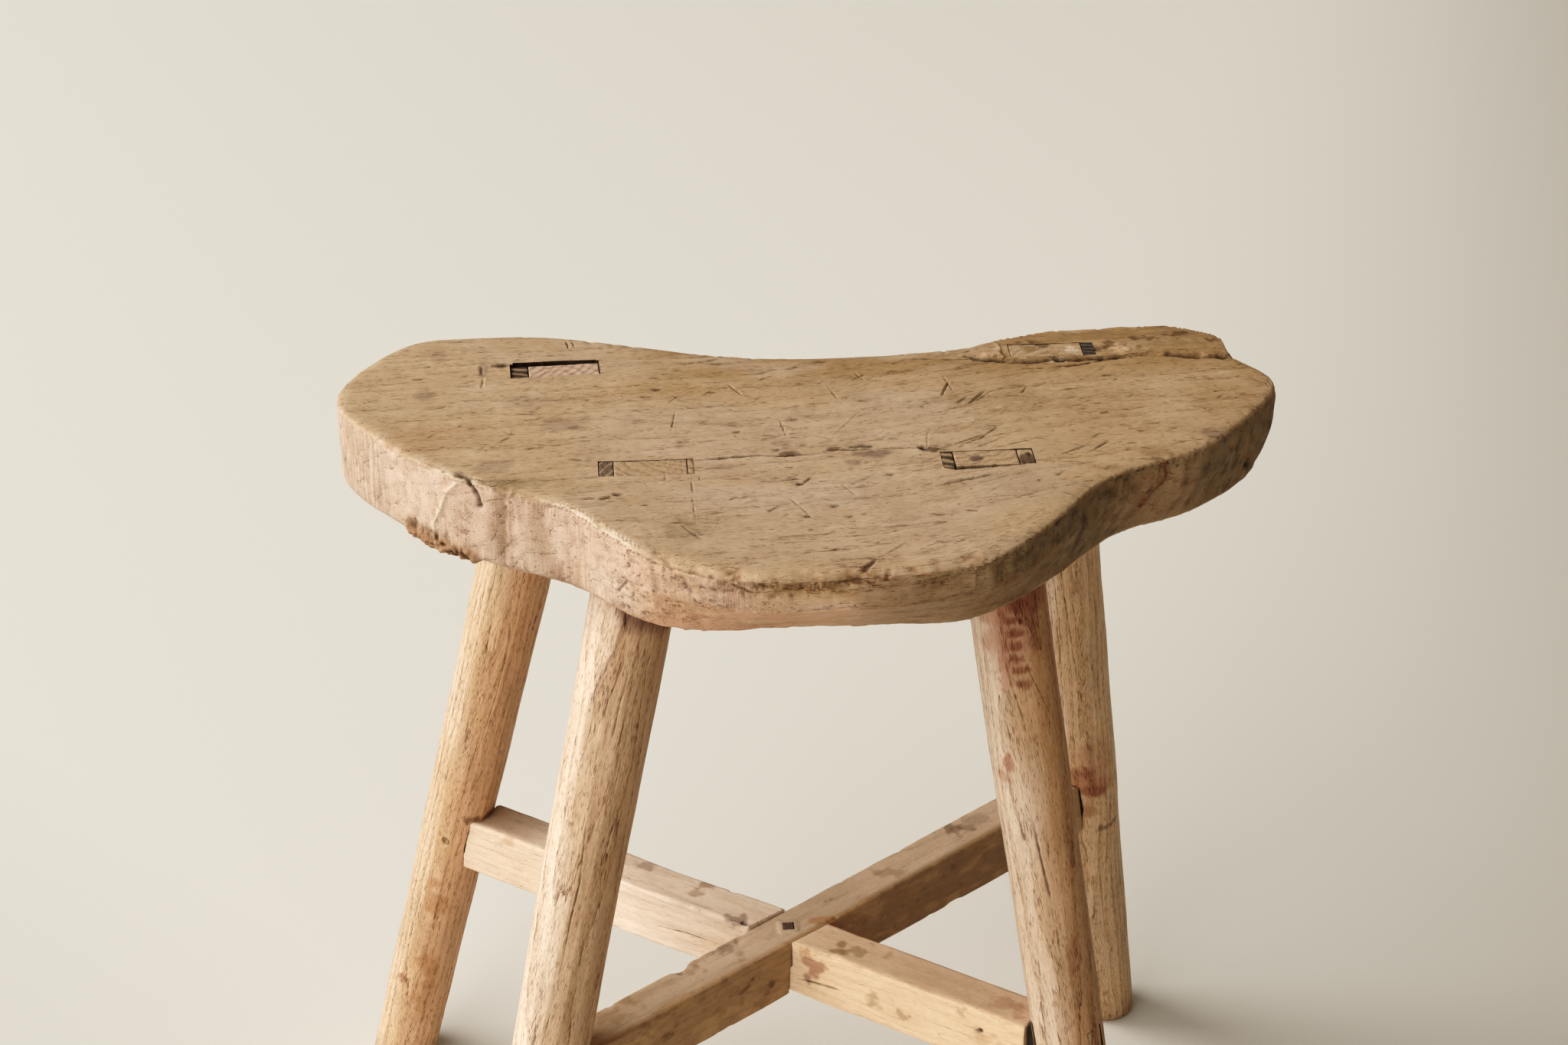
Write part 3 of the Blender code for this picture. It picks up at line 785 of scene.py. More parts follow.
def tear_front(surface, side, top, rim, front, arris):
    """Along the front the top edge is worn round and its fibres are torn."""
    points = surface.points
    z = points[:, 2]
    reach = 9 * MM + 2.0 * MM * noise(points, 14, 9)
    fall = np.clip(1 - rim / reach, 0, 1) ** 2
    surface.moved[:, 2] -= 3.6 * MM * fall * front * np.maximum(top, arris)
    surface.moved[:, 2] -= 0.4 * MM * np.clip(1 - rim / (3 * MM), 0, 1) * top * (1 - front)
    high = smooth(z, SEAT_TOP - 14 * MM, SEAT_TOP - 4 * MM)
    torn_zone = front * np.maximum(side * high, smooth(reach - rim, 0, 5 * MM) * top)
    torn = noise(points @ SKEW, (6.5, 5, 1.7), 11, 3)
    surface.push(0.45 * MM * torn * torn_zone)
    surface.darken(0.6 * torn_zone * smooth(-torn, 0.40, 0.9))
    surface.paint(ORANGE_BROWN, 0.5 * torn_zone * smooth(-torn, -0.1, 0.7))
    surface.paint(TAN, 0.6 * torn_zone * smooth(torn, 0.2, 0.7))


def shape_seat(surface, side, top, rim):
    """The wear and the tool marks of the whole seat."""
    points = surface.points
    z = points[:, 2]
    front = front_share(points)
    arris = bell(surface.normals[:, 2] - 0.70, 0.18) * smooth(z, SEAT_TOP - 5 * MM, SEAT_TOP - 3 * MM)
    hew_sides(surface, side)
    chip_edges(surface, side, top, rim, front, arris)
    tear_front(surface, side, top, rim, front, arris)
    # The top is worn a little hollow, and its grain stands up in low ridges.
    height = worn_height(points) + 0.16 * MM * noise(points, 18, 2, 2)
    height += 0.08 * MM * noise(points, (55, 5, 30), 3, 2) + 0.10 * MM * noise(points, 4, 4, 2)
    surface.moved[:, 2] += height * top
    # The underside is rough sawn across.
    under = smooth(-surface.normals[:, 2], 0.6, 0.9)
    surface.push(under * 0.35 * MM * noise(points, (4, 40, 10), 12, 2))


def colour_all(surface):
    """The seat's broad colours, browner at the back and the right and greyer in the middle."""
    x, y, _ = surface.points.T
    points = surface.points
    surface.tint[:] = TAN
    surface.paint(GREY_TAN, patches(points, (50, 30, 40), 20, -0.3, 0.9))
    surface.paint(PINK_TAN, 0.25 * patches(points, (60, 35, 40), 34, 0.2, 1.0))
    surface.paint(OCHRE, 0.40 * patches(points, (70, 22, 40), 21, 0.1, 1.0))
    surface.paint(UMBER, 0.22 * patches(points, (34, 9, 20), 22, 0.3, 1.2, 3))
    brown = (0.46, 0.315, 0.175)
    surface.paint(brown, 0.55 * smooth(x, 0.06, 0.22) * patches(points, 30, 35, -1.1, 0.4))
    behind = smooth(y, 0.005, 0.045) * smooth(x, -0.085, -0.045)
    surface.paint(brown, 0.85 * behind * patches(points, (40, 14, 30), 36, -0.9, 0.4))
    surface.paint(brown, 0.10 * smooth(y, -0.07, -0.10))
    surface.paint((0.70, 0.55, 0.39), 0.35 * smooth(x, -0.06, -0.14))
    sat_on = smooth(x, -0.125, -0.085) * smooth(x, 0.11, 0.06) * smooth(y, 0.03, -0.01)
    surface.paint((0.70, 0.58, 0.47), 0.26 * sat_on)


def colour_left_side(surface, left):
    """Pink-tan and gritty, paler at its end."""
    x, y, _ = surface.points.T
    points = surface.points
    surface.paint(PINK_TAN, left)
    surface.paint(PALE_FIBRE, 0.45 * left * patches(points, 26, 24, -0.2, 0.7))
    surface.paint(PALE_FIBRE, 0.35 * left * smooth(x, -0.17, -0.20))
    middle = smooth(x, -0.180, -0.160) * smooth(x, -0.100, -0.125)
    mottle = patches(points, (9, 9, 30), 23, -0.4, 0.8, 3)
    surface.paint(UMBER, left * mottle * (0.06 + 0.40 * middle))
    grit = patches(points, (3, 3, 5), 38, -0.1, 0.8)
    surface.paint(UMBER, 0.18 * left * grit)
    surface.paint(PLUM_GREY, 0.15 * left * patches(points, 14, 37, 0.1, 0.9, 3))
    surface.paint(ORANGE_BROWN, 0.25 * left * smooth(x, -0.100, -0.075) * smooth(y, -0.105, -0.130))


def colour_right_side(surface, right):
    """Dark and streaked."""
    points = surface.points
    surface.paint(OLIVE_BROWN, right)
    streak = 0.5 * noise(points, (3, 3, 18), 25, 3) + 0.7 * noise(points, 4.5, 39, 4)
    surface.paint(DARK_BROWN, 0.65 * right * smooth(streak + 0.5 * noise(points, 20, 26), -0.2, 1.0))
    surface.paint(GREY_TAN, 0.35 * right * smooth(-streak, 0.3, 1.0))
    surface.paint(ORANGE_BROWN, 0.25 * right * patches(points, 11, 27, 0.2, 0.9))


def colour_front_side(surface, front, warm):
    """Honey and pink at the left, which is the warm part, and brown at the right."""
    points = surface.points
    surface.paint(HONEY, front)
    surface.paint(PINK_TAN, 0.7 * front * warm * patches(points, (26, 26, 9), 28, -0.5, 0.5))
    surface.paint((0.28, 0.192, 0.118), front * (1 - warm) * (0.85 + 0.30 * noise(points, 9, 33, 3)))
    surface.paint(ORANGE_BROWN, 0.30 * front * smooth(points[:, 2], 0.478, 0.468) * warm)
    surface.paint(PLUM_GREY, 0.22 * front * patches(points, 18, 29, 0.1, 0.9))


def colour_seat(surface, side, top, rim):
    """The seat's colours: tan top, pink-tan left side, dark right side and grimy edges."""
    x, y, z = surface.points.T
    points = surface.points
    facing_left = smooth(surface.normals[:, 0], 0.10, -0.35)
    warm = smooth(x, 0.045, 0.0)
    colour_all(surface)
    colour_left_side(surface, side * facing_left)
    colour_right_side(surface, side * smooth(surface.normals[:, 0], 0.05, 0.60))
    colour_front_side(surface, side * (1 - facing_left) * smooth(surface.normals[:, 0], 0.60, 0.05), warm)
    grimy = np.exp(-rim / (3 * MM)) * smooth(x, 0.03, 0.07) * smooth(y, -0.02, -0.06)
    surface.paint(OLIVE_BROWN, 0.7 * grimy * (top + side))
    surface.darken(0.6 * grimy * patches(points, 2.5, 31, 0.3, 0.9))
    bright_edge = bell(z - SEAT_TOP + 1.5 * MM, 1.4 * MM) * facing_left * smooth(x, -0.07, -0.10)
    surface.paint(PALE_FIBRE, 0.5 * bright_edge * patches(points, 6, 32, -0.2, 0.5, 1))

    # Painted highlight and rosy colour: the rounded lower front edge is painted paler and rosier at the warm
    # left, umber at the right
    low_edge = smooth(-surface.normals[:, 2], 0.15, 0.45) * smooth(y, -0.10, -0.13)
    rosy = patches(points, (24, 24, 8), 41, -0.6, 0.6)
    surface.paint((0.80, 0.56, 0.38), 0.75 * low_edge * warm)
    surface.paint((0.80, 0.50, 0.36), 0.55 * low_edge * warm * rosy)
    surface.paint(UMBER, 0.5 * low_edge * (1 - warm))
    under = smooth(-surface.normals[:, 2], 0.85, 0.97)
    surface.paint(UMBER, 0.6 * under)


def shape_strip(surface, top, rim):
    """The worn strip behind the mortise at the back right: lower at its crack, rounded at the back."""
    x, y, z = surface.points.T
    points = surface.points
    line_y = np.interp(x, [p[0] for p in STRIP_LINE], [p[1] for p in STRIP_LINE])
    inner = smooth(rim, 2.5 * MM, 4.5 * MM) * smooth(z, SEAT_TOP - 4.2 * MM, SEAT_TOP - 3.4 * MM)
    behind = np.maximum(top, inner) * smooth(x, 0.096, 0.106) * smooth(y - line_y, -0.3 * MM, 1.2 * MM)
    target = 0.5 * MM - 3.2 * MM * smooth(y, 0.060, 0.088)
    target += 0.5 * MM * noise(points, 11, 40, 2) + 0.5 * MM * noise(points, (20, 6, 9), 41, 2)
    surface.moved[:, 2] += behind * (target + SEAT_TOP - z)
    surface.groove(STRIP_LINE, 1.35, 2.6, dark=0.97, seed=42, taper=False, ragged=0.7)
    surface.groove(LOWER_CRACK, 0.75, 1.2, dark=0.85, seed=45, ragged=0.8, lip=0.3)
    surface.groove(LEFT_CRACK, 0.55, 1.0, dark=0.75, seed=46, ragged=0.8)
    surface.paint(PALE_FIBRE, 0.8 * surface.groove(STRIP_KNOT, 2.2, -0.8, dark=0, seed=47, taper=False))
    surface.groove(STRIP_KNOT, 0.9, 1.8, dark=0.95, seed=48, taper=False)
    surface.groove(STRIP_CLEFT, 2.2, 5, dark=0.95, seed=43, taper=False)
    for number, lump in enumerate(STRIP_LUMPS):
        share = surface.blotch(lump, (7, 4, 5), TAN, 0.8, seed=50 + number)
        surface.moved[:, 2] += 1.3 * MM * share * top
    surface.paint(UMBER, 0.45 * behind * patches(points, (14, 7, 9), 44, -0.2, 0.8))
    surface.paint(UMBER, 0.45 * behind * smooth(x, 0.17, 0.22))
    for number, mark in enumerate(STRIP_MARKS):
        share = surface.blotch(mark, (5.5, 3.2, 5), DARK_BROWN, 0.65, seed=60 + number, ragged=1.0)
        surface.moved[:, 2] -= 0.7 * MM * share * top


def mark_top(surface):
    """The top's cracks, small scratches, pits and stains."""
    for number, (width, depth, dark, *places) in enumerate(TOP_LINES):
        line = on_top(*places)
        way = np.abs(np.subtract(line[-1], line[0]))
        level = way[0] / (way[0] + way[1])
        long_crack = number < LONG_CRACK_ROWS
        wider, darkness = (1.8, dark) if long_crack else (0.80 + 0.30 * level, 0.75 * dark)
        surface.groove(line, width * wider, depth, darkness, seed=number, ragged=0.6, lip=0.3)
    chance = np.random.default_rng(11)
    for number in range(SMALL_SCRATCHES):
        x, y = chance.uniform(-0.185, 0.225), chance.uniform(-0.12, 0.075)
        turn, length = chance.normal(0.45, 0.45), chance.uniform(1.5, 5.0) * MM
        step = np.array((math.cos(turn), math.sin(turn), 0)) * length
        middle = np.array((x, y, SEAT_TOP))
        width, depth, dark = chance.uniform(0.35, 0.6), chance.uniform(0.3, 0.6), chance.uniform(0.35, 0.75)
        surface.groove([middle - step, middle + step], width, depth, dark, seed=600 + number, lip=0.5)
    for number, (x, y) in enumerate(TOP_PITS):
        spot = on_top((x - 0.8, y), (x + 0.8, y))
        surface.groove(spot, 1.0, 1.2, 0.95, seed=200 + number, taper=False)
    for number, (x, y, length, width, colour, strength) in enumerate(TOP_STAINS):
        surface.blotch(on_top((x, y))[0], (length, width, 4), colour, strength, seed=number)


def mark_sides(surface):
    """The cracks, steps and chips of the sides and the edges, each with its own colour, and the painted
    shadow under the front rim.
    """
    surface.groove(RIDGE_CRACK, 1.2, -0.8, dark=0, seed=301, taper=False)
    surface.paint(PALE_FIBRE, 0.9 * surface.groove(RIDGE_CRACK, 0.9, 0, dark=0, seed=302, taper=False))
    surface.groove(NOTCH_CRACK, 1.3, 2.2, dark=0.8, seed=303, taper=False)
    surface.groove(on_top((-161, -53), (-157, -57)), 2.0, 2.2, dark=0.8, seed=304, taper=False)
    surface.paint(UMBER, 0.6 * surface.groove(SIDE_STREAK, 3.2, 0.8, dark=0.1, seed=305, taper=False))
    surface.groove(SIDE_STEP, 1.0, -0.8, dark=0, seed=306, taper=False)
    surface.paint(PALE_FIBRE, surface.groove(PALE_CHIP, 1.5, 0.3, dark=0, seed=307, ragged=0.25))
    surface.groove(LOBE_EDGE, 2.2, -1.1, dark=0, seed=308, taper=False)
    surface.groove(LOBE_EDGE_RIGHT, 2.5, -0.9, dark=0, seed=309, taper=False)
    surface.groove(LOBE_CRACK, 0.8, 0.8, dark=0.5, seed=310)
    # Painted shadow under the worn front rim: a broad brown band, then a darker groove
    rim_shadow_band = surface.groove(RIM_SHADOW, 3.6, 0.6, dark=0, seed=315, ragged=0.7)
    surface.paint((0.33, 0.20, 0.10), 0.75 * rim_shadow_band)
    surface.groove(RIM_SHADOW, 1.5, 1.2, dark=0.50, seed=311, ragged=0.9)
    surface.groove(ORANGE_CRACK, 2.6, 1.2, dark=0.35, seed=312, taper=False)
    surface.paint(ORANGE_BROWN, surface.groove(ORANGE_CRACK, 1.2, -1.0, dark=0, seed=313, taper=False))
    surface.groove(SIDE_PIT, 1.8, 2.0, dark=1.0, seed=314, taper=False)


def hang_bark(surface):
    """A lump of bark hangs below the left end's lower edge."""
    gap, _, _ = surface.distance(BARK)
    lump = smooth(gap + 1.5 * MM * noise(surface.points, 6, 330), 8 * MM, 3 * MM)
    crumbs = noise(surface.points, 2.8, 331, 2)
    surface.push(lump * (0.4 * MM + 1.6 * MM * crumbs))
    surface.moved[:, 2] -= 2.2 * MM * lump
    surface.paint((0.47, 0.29, 0.16), 0.8 * lump)
    surface.paint(DARK_BROWN, 0.85 * lump * smooth(-crumbs, -0.1, 0.4))
    surface.darken(0.7 * lump * smooth(-crumbs, 0.35, 0.8))


def seat_grain(points):
    """The seat's grain runs along x. It rises to the back over the right half, round the knots."""
    x, y, z = points.T
    bend = 0.012 * np.tanh((x - 0.08) / 0.045) + 0.05 * x
    wander = 2.5 * MM * noise(points, (90, 40, 60), 50)
    return np.stack([y - bend + wander + 0.16, z - SEAT_TOP + 0.12, x], axis=1)


def make_seat(material):
    """The seat with all its wear, cut for the four tenons."""
    seat = seat_object()
    surface = Surface(seat)
    top = smooth(surface.normals[:, 2], 0.55, 0.85)
    side = smooth(1 - np.abs(surface.normals[:, 2]), 0.25, 0.6)
    rim = distance_to_side(surface, side)
    colour_seat(surface, side, top, rim)
    shape_seat(surface, side, top, rim)
    shape_strip(surface, top, rim)
    mark_top(surface)
    mark_sides(surface)
    hang_bark(surface)
    surface.finish(seat_grain, material, mortise_cutters())
    place_piece(seat, "seat")


# ---------------------------------------------------------------------------------------------------
# Legs

# Checks and cracks in the legs: half width and depth in millimetres, darkness, and the line's places
LEG_LINES = {
    "front_left": [
        (0.25, 0.4, 0.6, (-84, -88, 418), (-90, -91, 398), (-94, -94, 381), (-100, -98, 361),
         (-110, -101, 335)),
        (0.25, 0.4, 0.55, (-79, -87, 411), (-87, -93, 380), (-97, -100, 341)),
        (0.3, 0.6, 0.75, (-108, -101, 339), (-113, -107, 303), (-118, -110, 284), (-122, -113, 265)),
        (0.25, 0.4, 0.6, (-122, -113, 265), (-129, -117, 237), (-134, -121, 218)),
        (0.2, 0.3, 0.35, (-92, -88, 435), (-98, -92, 415), (-106, -96, 380)),
        (0.25, 0.4, 0.55, (-139, -121, 208), (-147, -128, 178), (-153, -134, 150)),
        (0.25, 0.4, 0.5, (-143, -118, 170), (-152, -126, 130), (-158, -131, 95)),
    ],
    "back_left": [
        (0.25, 0.4, 0.6, (-142, 58, 365), (-145, 63, 335), (-153, 69, 301), (-164, 76, 263)),
        (0.25, 0.4, 0.5, (-148, 59, 360), (-155, 66, 322), (-167, 74, 278)),
        (0.5, 0.6, 0.8, (-129, 68, 352), (-131, 69, 346), (-132, 69, 340)),
        (0.25, 0.4, 0.5, (-186, 99, 190), (-198, 108, 140), (-211, 117, 90)),
        (0.2, 0.3, 0.4, (-196, 98, 150), (-206, 107, 105)),
    ],
    "front_right": [
        (0.3, 0.5, 0.6, (92, -88, 424), (94, -90, 412), (98, -93, 397), (102, -96, 385), (108, -99, 368)),
        (0.2, 0.4, 0.5, (101, -90, 423), (107, -93, 403), (115, -94, 386), (120, -93, 376)),
        (0.25, 0.4, 0.55, (92, -90, 391), (96, -95, 376), (99, -98, 363), (103, -100, 353)),
        (0.25, 0.4, 0.5, (101, -101, 334), (104, -104, 322), (107, -106, 312)),
        (0.35, 0.7, 0.8, (109, -106, 327), (114, -110, 305), (119, -113, 285), (121, -115, 275)),
        (0.3, 0.5, 0.6, (109, -110, 269), (114, -115, 254), (116, -118, 232)),
        (0.3, 0.5, 0.6, (122, -116, 272), (126, -120, 245), (129, -124, 223)),
        (0.25, 0.4, 0.5, (132, -122, 210), (138, -128, 180), (144, -134, 150)),
    ],
    "back_right": [
        (0.3, 0.5, 0.6, (152, 60, 365), (157, 64, 340), (168, 74, 287), (175, 84, 233)),
        (0.25, 0.4, 0.5, (147, 63, 358), (152, 67, 331), (160, 75, 289)),
        (0.2, 0.4, 0.4, (163, 66, 350), (172, 77, 295), (181, 88, 240)),
        (0.25, 0.4, 0.5, (187, 92, 180), (196, 103, 130), (204, 113, 80)),
    ],
}
SCORCHED = (0.34, 0.21, 0.16)
RUSTY_PINK = (0.58, 0.33, 0.23)
RUSTY_BROWN = (0.52, 0.27, 0.17)
# Stains on the legs: centre and half size in millimetres, colour, strength
LEG_STAINS = {
    "front_left": [
        ((-72, -82, 449), (17, 16, 14), SCORCHED, 0.85),
        ((-84, -88, 438), (7, 12, 8), (0.36, 0.23, 0.18), 0.60),
        ((-66, -76, 433), (9, 12, 11), SCORCHED, 0.55),
    ],
    "back_left": [
        ((-196, 98, 143), (6, 8, 18), ORANGE_BROWN, 0.45),
        ((-203, 107, 87), (6, 8, 22), ORANGE_BROWN, 0.50),
        ((-209, 112, 58), (6, 8, 14), ORANGE_BROWN, 0.40),
        ((-219, 114, 76), (4, 4, 3), RED_BROWN, 0.60),
        ((-159, 96, 206), (9, 9, 2.5), DARK_BROWN, 0.65),
        ((-172, 86, 207), (6, 6, 2.5), DARK_BROWN, 0.55),
    ],
    "front_right": [
        ((98, -88, 430), (13, 12, 27), (0.61, 0.37, 0.27), 0.60),
        ((106, -82, 446), (15, 14, 13), (0.50, 0.25, 0.16), 0.60),
        ((99, -88, 440), (6, 8, 5), RED_BROWN, 0.80),
        ((98, -88, 431), (6, 8, 2.2), RED_BROWN, 0.80),
        ((99, -89, 424), (5, 8, 2.2), RED_BROWN, 0.80),
        ((99, -91, 417), (4, 6, 3), RED_BROWN, 0.80),
        ((100, -92, 411), (4, 6, 2), RED_BROWN, 0.80),
        ((102, -93, 405), (4.5, 6, 2), RED_BROWN, 0.75),
        ((104, -94, 398), (3.5, 6, 2.5), RED_BROWN, 0.70),
        ((108, -85, 437), (4, 6, 9), RED_BROWN, 0.35),
        ((109, -88, 418), (3, 5, 9), RED_BROWN, 0.35),
        ((88, -84, 436), (8, 9, 12), (0.62, 0.36, 0.25), 0.60),
        ((93, -88, 418), (4, 7, 14), RUSTY_PINK, 0.60),
        ((96, -90, 402), (4, 6, 9), RUSTY_PINK, 0.50),
        ((98, -95, 355), (3, 5, 5), (0.50, 0.26, 0.17), 0.65),
        ((96, -95, 347), (4, 5, 4), (0.55, 0.31, 0.21), 0.55),
        ((131, -118, 250), (3, 5, 16), RED_BROWN, 0.35),
        ((82, -57, 503), (3.5, 2.8, 5), (0.22, 0.165, 0.135), 0.80),
    ],
    "back_right": [
        ((183, 84, 222), (17, 14, 20), (0.60, 0.35, 0.23), 0.40),
        ((185, 88, 210), (17, 14, 12), RUSTY_BROWN, 0.60),
        ((178, 86, 217), (7, 9, 4), RED_BROWN, 0.50),
        ((183, 90, 203), (11, 12, 4), RED_BROWN, 0.50),
        ((181, 90, 188), (7, 10, 7), RUSTY_BROWN, 0.50),
        ((198, 96, 172), (9, 12, 2.5), DARK_BROWN, 0.45),
        ((135, 62, 503), (5, 3, 5), DARK_BROWN, 0.60),
        ((127, 58, 503), (4, 3, 5), UMBER, 0.60),
        ((148, 54, 503), (3, 4, 5), PALE_FIBRE, 0.70),
        ((138, 51, 503), (6, 2, 5), UMBER, 0.50),
    ],
}
LEG_COLOURS = {"front_left": ASH, "back_left": HONEY, "front_right": ASH, "back_right": HONEY}
# Painted shade: the darker colour painted on the sides of each leg that face right, away from the lamps
LEG_PAINTED_SHADE_COLOURS = {
    "front_left": (0.71, 0.51, 0.35),
    "back_left": (0.80, 0.525, 0.34),
    "front_right": (0.61, 0.385, 0.225),
    "back_right": (0.88, 0.67, 0.48),
}
# For each leg: where its painted shade starts and is full, from -1 for left to 1 for right, and how strongly
# its left side, which faces the lamps, is painted lighter as painted light
LEG_PAINTED_LIGHT_AND_SHADE = {
    "front_left": (-0.65, 0.20, 0.75),
    "back_left": (-0.75, 0.15, 0.40),
    "front_right": (-0.45, 0.45, 0.80),
    "back_right": (-0.70, 0.20, 0.60),
}
# Darker colour low on a leg: colour, strength, and the heights where it starts and is full, in millimetres
LOW_SHADES = {"back_right": (UMBER, 0.22, 180, 80), "front_right": ((0.56, 0.40, 0.28), 0.30, 360, 260)}
# How dark each tenon's walls are painted: grime, and painted shade deep in the joint
JOINT_WALL_GRIME_AND_SHADE = {"front_left": 0.5, "back_left": 0.9, "front_right": 0.5, "back_right": 0.15}
# How flat the shaved flats of the legs are: 1 is a polygon, 0 is round
LEG_FLATS = {"front_left": 0.55, "back_left": 0.55, "front_right": 0.22, "back_right": 0.55}
FLATS_ROUND = 13


def leg_shaft(leg, flatness):
    """A round shaft of even faces from the floor to the shoulder, shaved in long flats."""
    lean, side, up = leg.directions()
    slant = 1 / up[2]
    shoulder = SEAT_BOTTOM - FIT_GAP
    heights = np.concatenate([[0, 0.8 * MM, 2.5 * MM], np.linspace(5 * MM, shoulder, LEG_ROWS - 3)])
    angles = np.linspace(0, 2 * math.pi, LEG_SIDES, endpoint=False)
    height, angle = np.meshgrid(heights, angles, indexing="ij")
    directions = lean * (np.cos(angle) * slant)[..., None] + side * np.sin(angle)[..., None]
    where = np.stack([np.cos(angle), np.sin(angle), height / (160 * MM)], axis=-1).reshape(-1, 3)
    turn = angle + 0.20 * noise(where, 1000, 10 * leg.seed, 2).reshape(angle.shape)
    flats = 2 * math.pi / FLATS_ROUND
    flat = math.cos(flats / 2) / np.cos(np.mod(turn, flats) - flats / 2)
    size = leg.radius(height) * (1 + flatness * (flat - 1))
    size += 0.5 * MM * noise(where * (1, 1, 2.2), 1000, 10 * leg.seed + 3, 2).reshape(angle.shape)
    size -= 1.6 * MM * smooth(height, 2.6 * MM, 0)
    points = leg.axis(height) + directions * size[..., None]
    flat_points = points.reshape(-1, 3)
    rows, sides = angle.shape
    faces = []
    for row in range(rows - 1):
        for step in range(sides):
            beside = (step + 1) % sides
            low, high = row * sides, (row + 1) * sides
            faces.append((low + step, low + beside, high + beside, high + step))
    faces.append(tuple(reversed(range(sides))))
    faces.append(tuple(range((rows - 1) * sides, rows * sides)))
    mesh = bpy.data.meshes.new(leg.name)
    mesh.from_pydata(flat_points.tolist(), [], faces)
    return add_object("look_" + leg.name, mesh)


def leg_tenon(leg):
    """The tenon block, with its top worn down with the seat's."""
    corners = leg.section(leg.tenon, TENON_HALF_DEPTH, SEAT_BOTTOM - 9 * MM)
    corners += leg.section(leg.tenon, TENON_HALF_DEPTH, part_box(leg.name)[1].z)
    tenon = voxel_mesh("tenon", [hull_object("block", corners)], SMALL_VOXEL, leg.turn)
    surface = Surface(tenon)
    lower_tenon(surface, leg)
    tenon.data.vertices.foreach_set("co", (surface.points + surface.moved).astype(np.float32).ravel())
    return tenon


def lower_tenon(surface, leg):
    """Wears the top of a tenon or of its packing down with the seat."""
    share = smooth(surface.points[:, 2], SEAT_BOTTOM, SEAT_TOP - 4 * MM)
    sunk = {"leg_back_left": -1.2 * MM, "leg_back_right": 2.8 * MM}.get(leg.name, 0)
    rough = 0.15 * MM * noise(surface.points, (9, 2, 20), 70, 2)
    surface.moved[:, 2] += share * (worn_height(surface.points) + sunk + rough)


def leg_grain(leg, pith):
    """Places in the leg's section, measured from a pith beside its axis, so that the growth rings come to
    long points on the leg's surface."""

    def grain(points):
        lean, side, up = leg.directions()
        offset = points - leg.axis(points[:, 2])
        along = points @ up
        across = offset @ side + (pith[0] + pith[2] * (along - 0.3)) * MM
        out = offset @ lean + (pith[1] + pith[3] * (along - 0.3)) * MM
        return np.stack([across, out, along], axis=1)

    return grain


def stretcher_cutters(leg, place):
    """The spaces in a leg for the stretcher and the peg that go into it."""
    bar = next(node for node, places in BARS.items() if place in places)
    gap = 2 * FIT_GAP if place in ("front_right", "back_right") else FIT_GAP
    cutters = [swollen("housing", bar, gap), swollen("peg_hole", "peg_" + place, FIT_GAP)]
    if place == "front_right":
        # The stretcher's near side stands clear of this leg, by more at the bottom.
        _, along, across = bar_frame(bar)
        corners = []
        for height, width in ((0.204, 1.2), (0.164, 4.4)):
            for inward, beside in itertools.product((-26, -5), (-10, -12 - width)):
                corners.append(leg.axis(height) + (along * inward + across * beside) * MM)
        cutters.append(hull_object("open_side", corners))
    return cutters


# The pale flame at the top of the front left leg: heights, and how far left of the axis its right edge is
FLAME = ((394, 13.5), (404, 12.2), (418, 9.0), (434, 5.5), (450, 2.5), (460, 1.0))


def paint_flame(surface, leg):
    """A tongue of pale sapwood with a dark line round it."""
    points = surface.points
    across = (leg.axis(points[:, 2])[:, 0] - points[:, 0]) / MM
    edge = np.interp(points[:, 2] / MM, *zip(*FLAME)) + 0.8 * noise(points, 9, 125, 2)
    inside = smooth(points[:, 2], 391 * MM, 397 * MM) * smooth(-surface.normals[:, 1], 0.0, 0.3)
    inside *= smooth(points[:, 2], SEAT_BOTTOM + 1 * MM, SEAT_BOTTOM - 1 * MM)
    surface.paint((0.90, 0.75, 0.62), 0.85 * inside * smooth(across - edge, -0.6, 0.8))
    surface.darken(0.45 * (bell(across - edge + 0.4, 0.55) * inside))
    lines = np.sin((across - edge) * 2 * math.pi / 2.6 + 1.5 * noise(points, (8, 8, 30), 126))
    beside = smooth(across - edge, -0.5, -1.5) * smooth(across - edge, -26, -14)
    beside *= smooth(points[:, 2], 0.19, 0.30)
    broken = patches(points, (2, 2, 9), 127, -0.5, 0.5)
    surface.paint(UMBER, 0.50 * beside * smooth(lines, 0.55, 0.95) * broken)


def colour_leg(surface, place, shaft):
    """Painted lighter on the left, which faces the lamps, and painted darker to the right as shade; streaked
    along its grain, with a grimy foot.
    """
    leg, points = LEGS[place], surface.points
    surface.tint[:] = LEG_COLOURS[place]
    where = (16, 16, 90)
    surface.paint(ASH_LIGHT, 0.5 * patches(points, where, 90 + leg.seed, -0.1, 0.9))
    surface.paint(HONEY, 0.5 * patches(points, where, 100 + leg.seed, 0.0, 0.9))
    facing = surface.normals[:, 0] + 0.18 * noise(points, where, 115 + leg.seed, 2)
    turn_start, turn_end, painted_light_share = LEG_PAINTED_LIGHT_AND_SHADE[place]
    # Painted shade on the sides that face right, then painted light on the left sides that face the lamps
    surface.paint(LEG_PAINTED_SHADE_COLOURS[place], 0.9 * smooth(facing, turn_start, turn_end))
    surface.paint(ASH_LIGHT, painted_light_share * smooth(facing, turn_start + 0.35, turn_start - 0.15))
    surface.paint(UMBER, 0.18 * patches(points, (7, 7, 60), 110 + leg.seed, 0.0, 0.9))
    surface.paint(UMBER, 0.5 * shaft * smooth(points[:, 2], 25 * MM, 0))
    if place in LOW_SHADES:
        colour, share, start, end = LOW_SHADES[place]
        surface.paint(colour, share * shaft * smooth(points[:, 2], start * MM, end * MM))


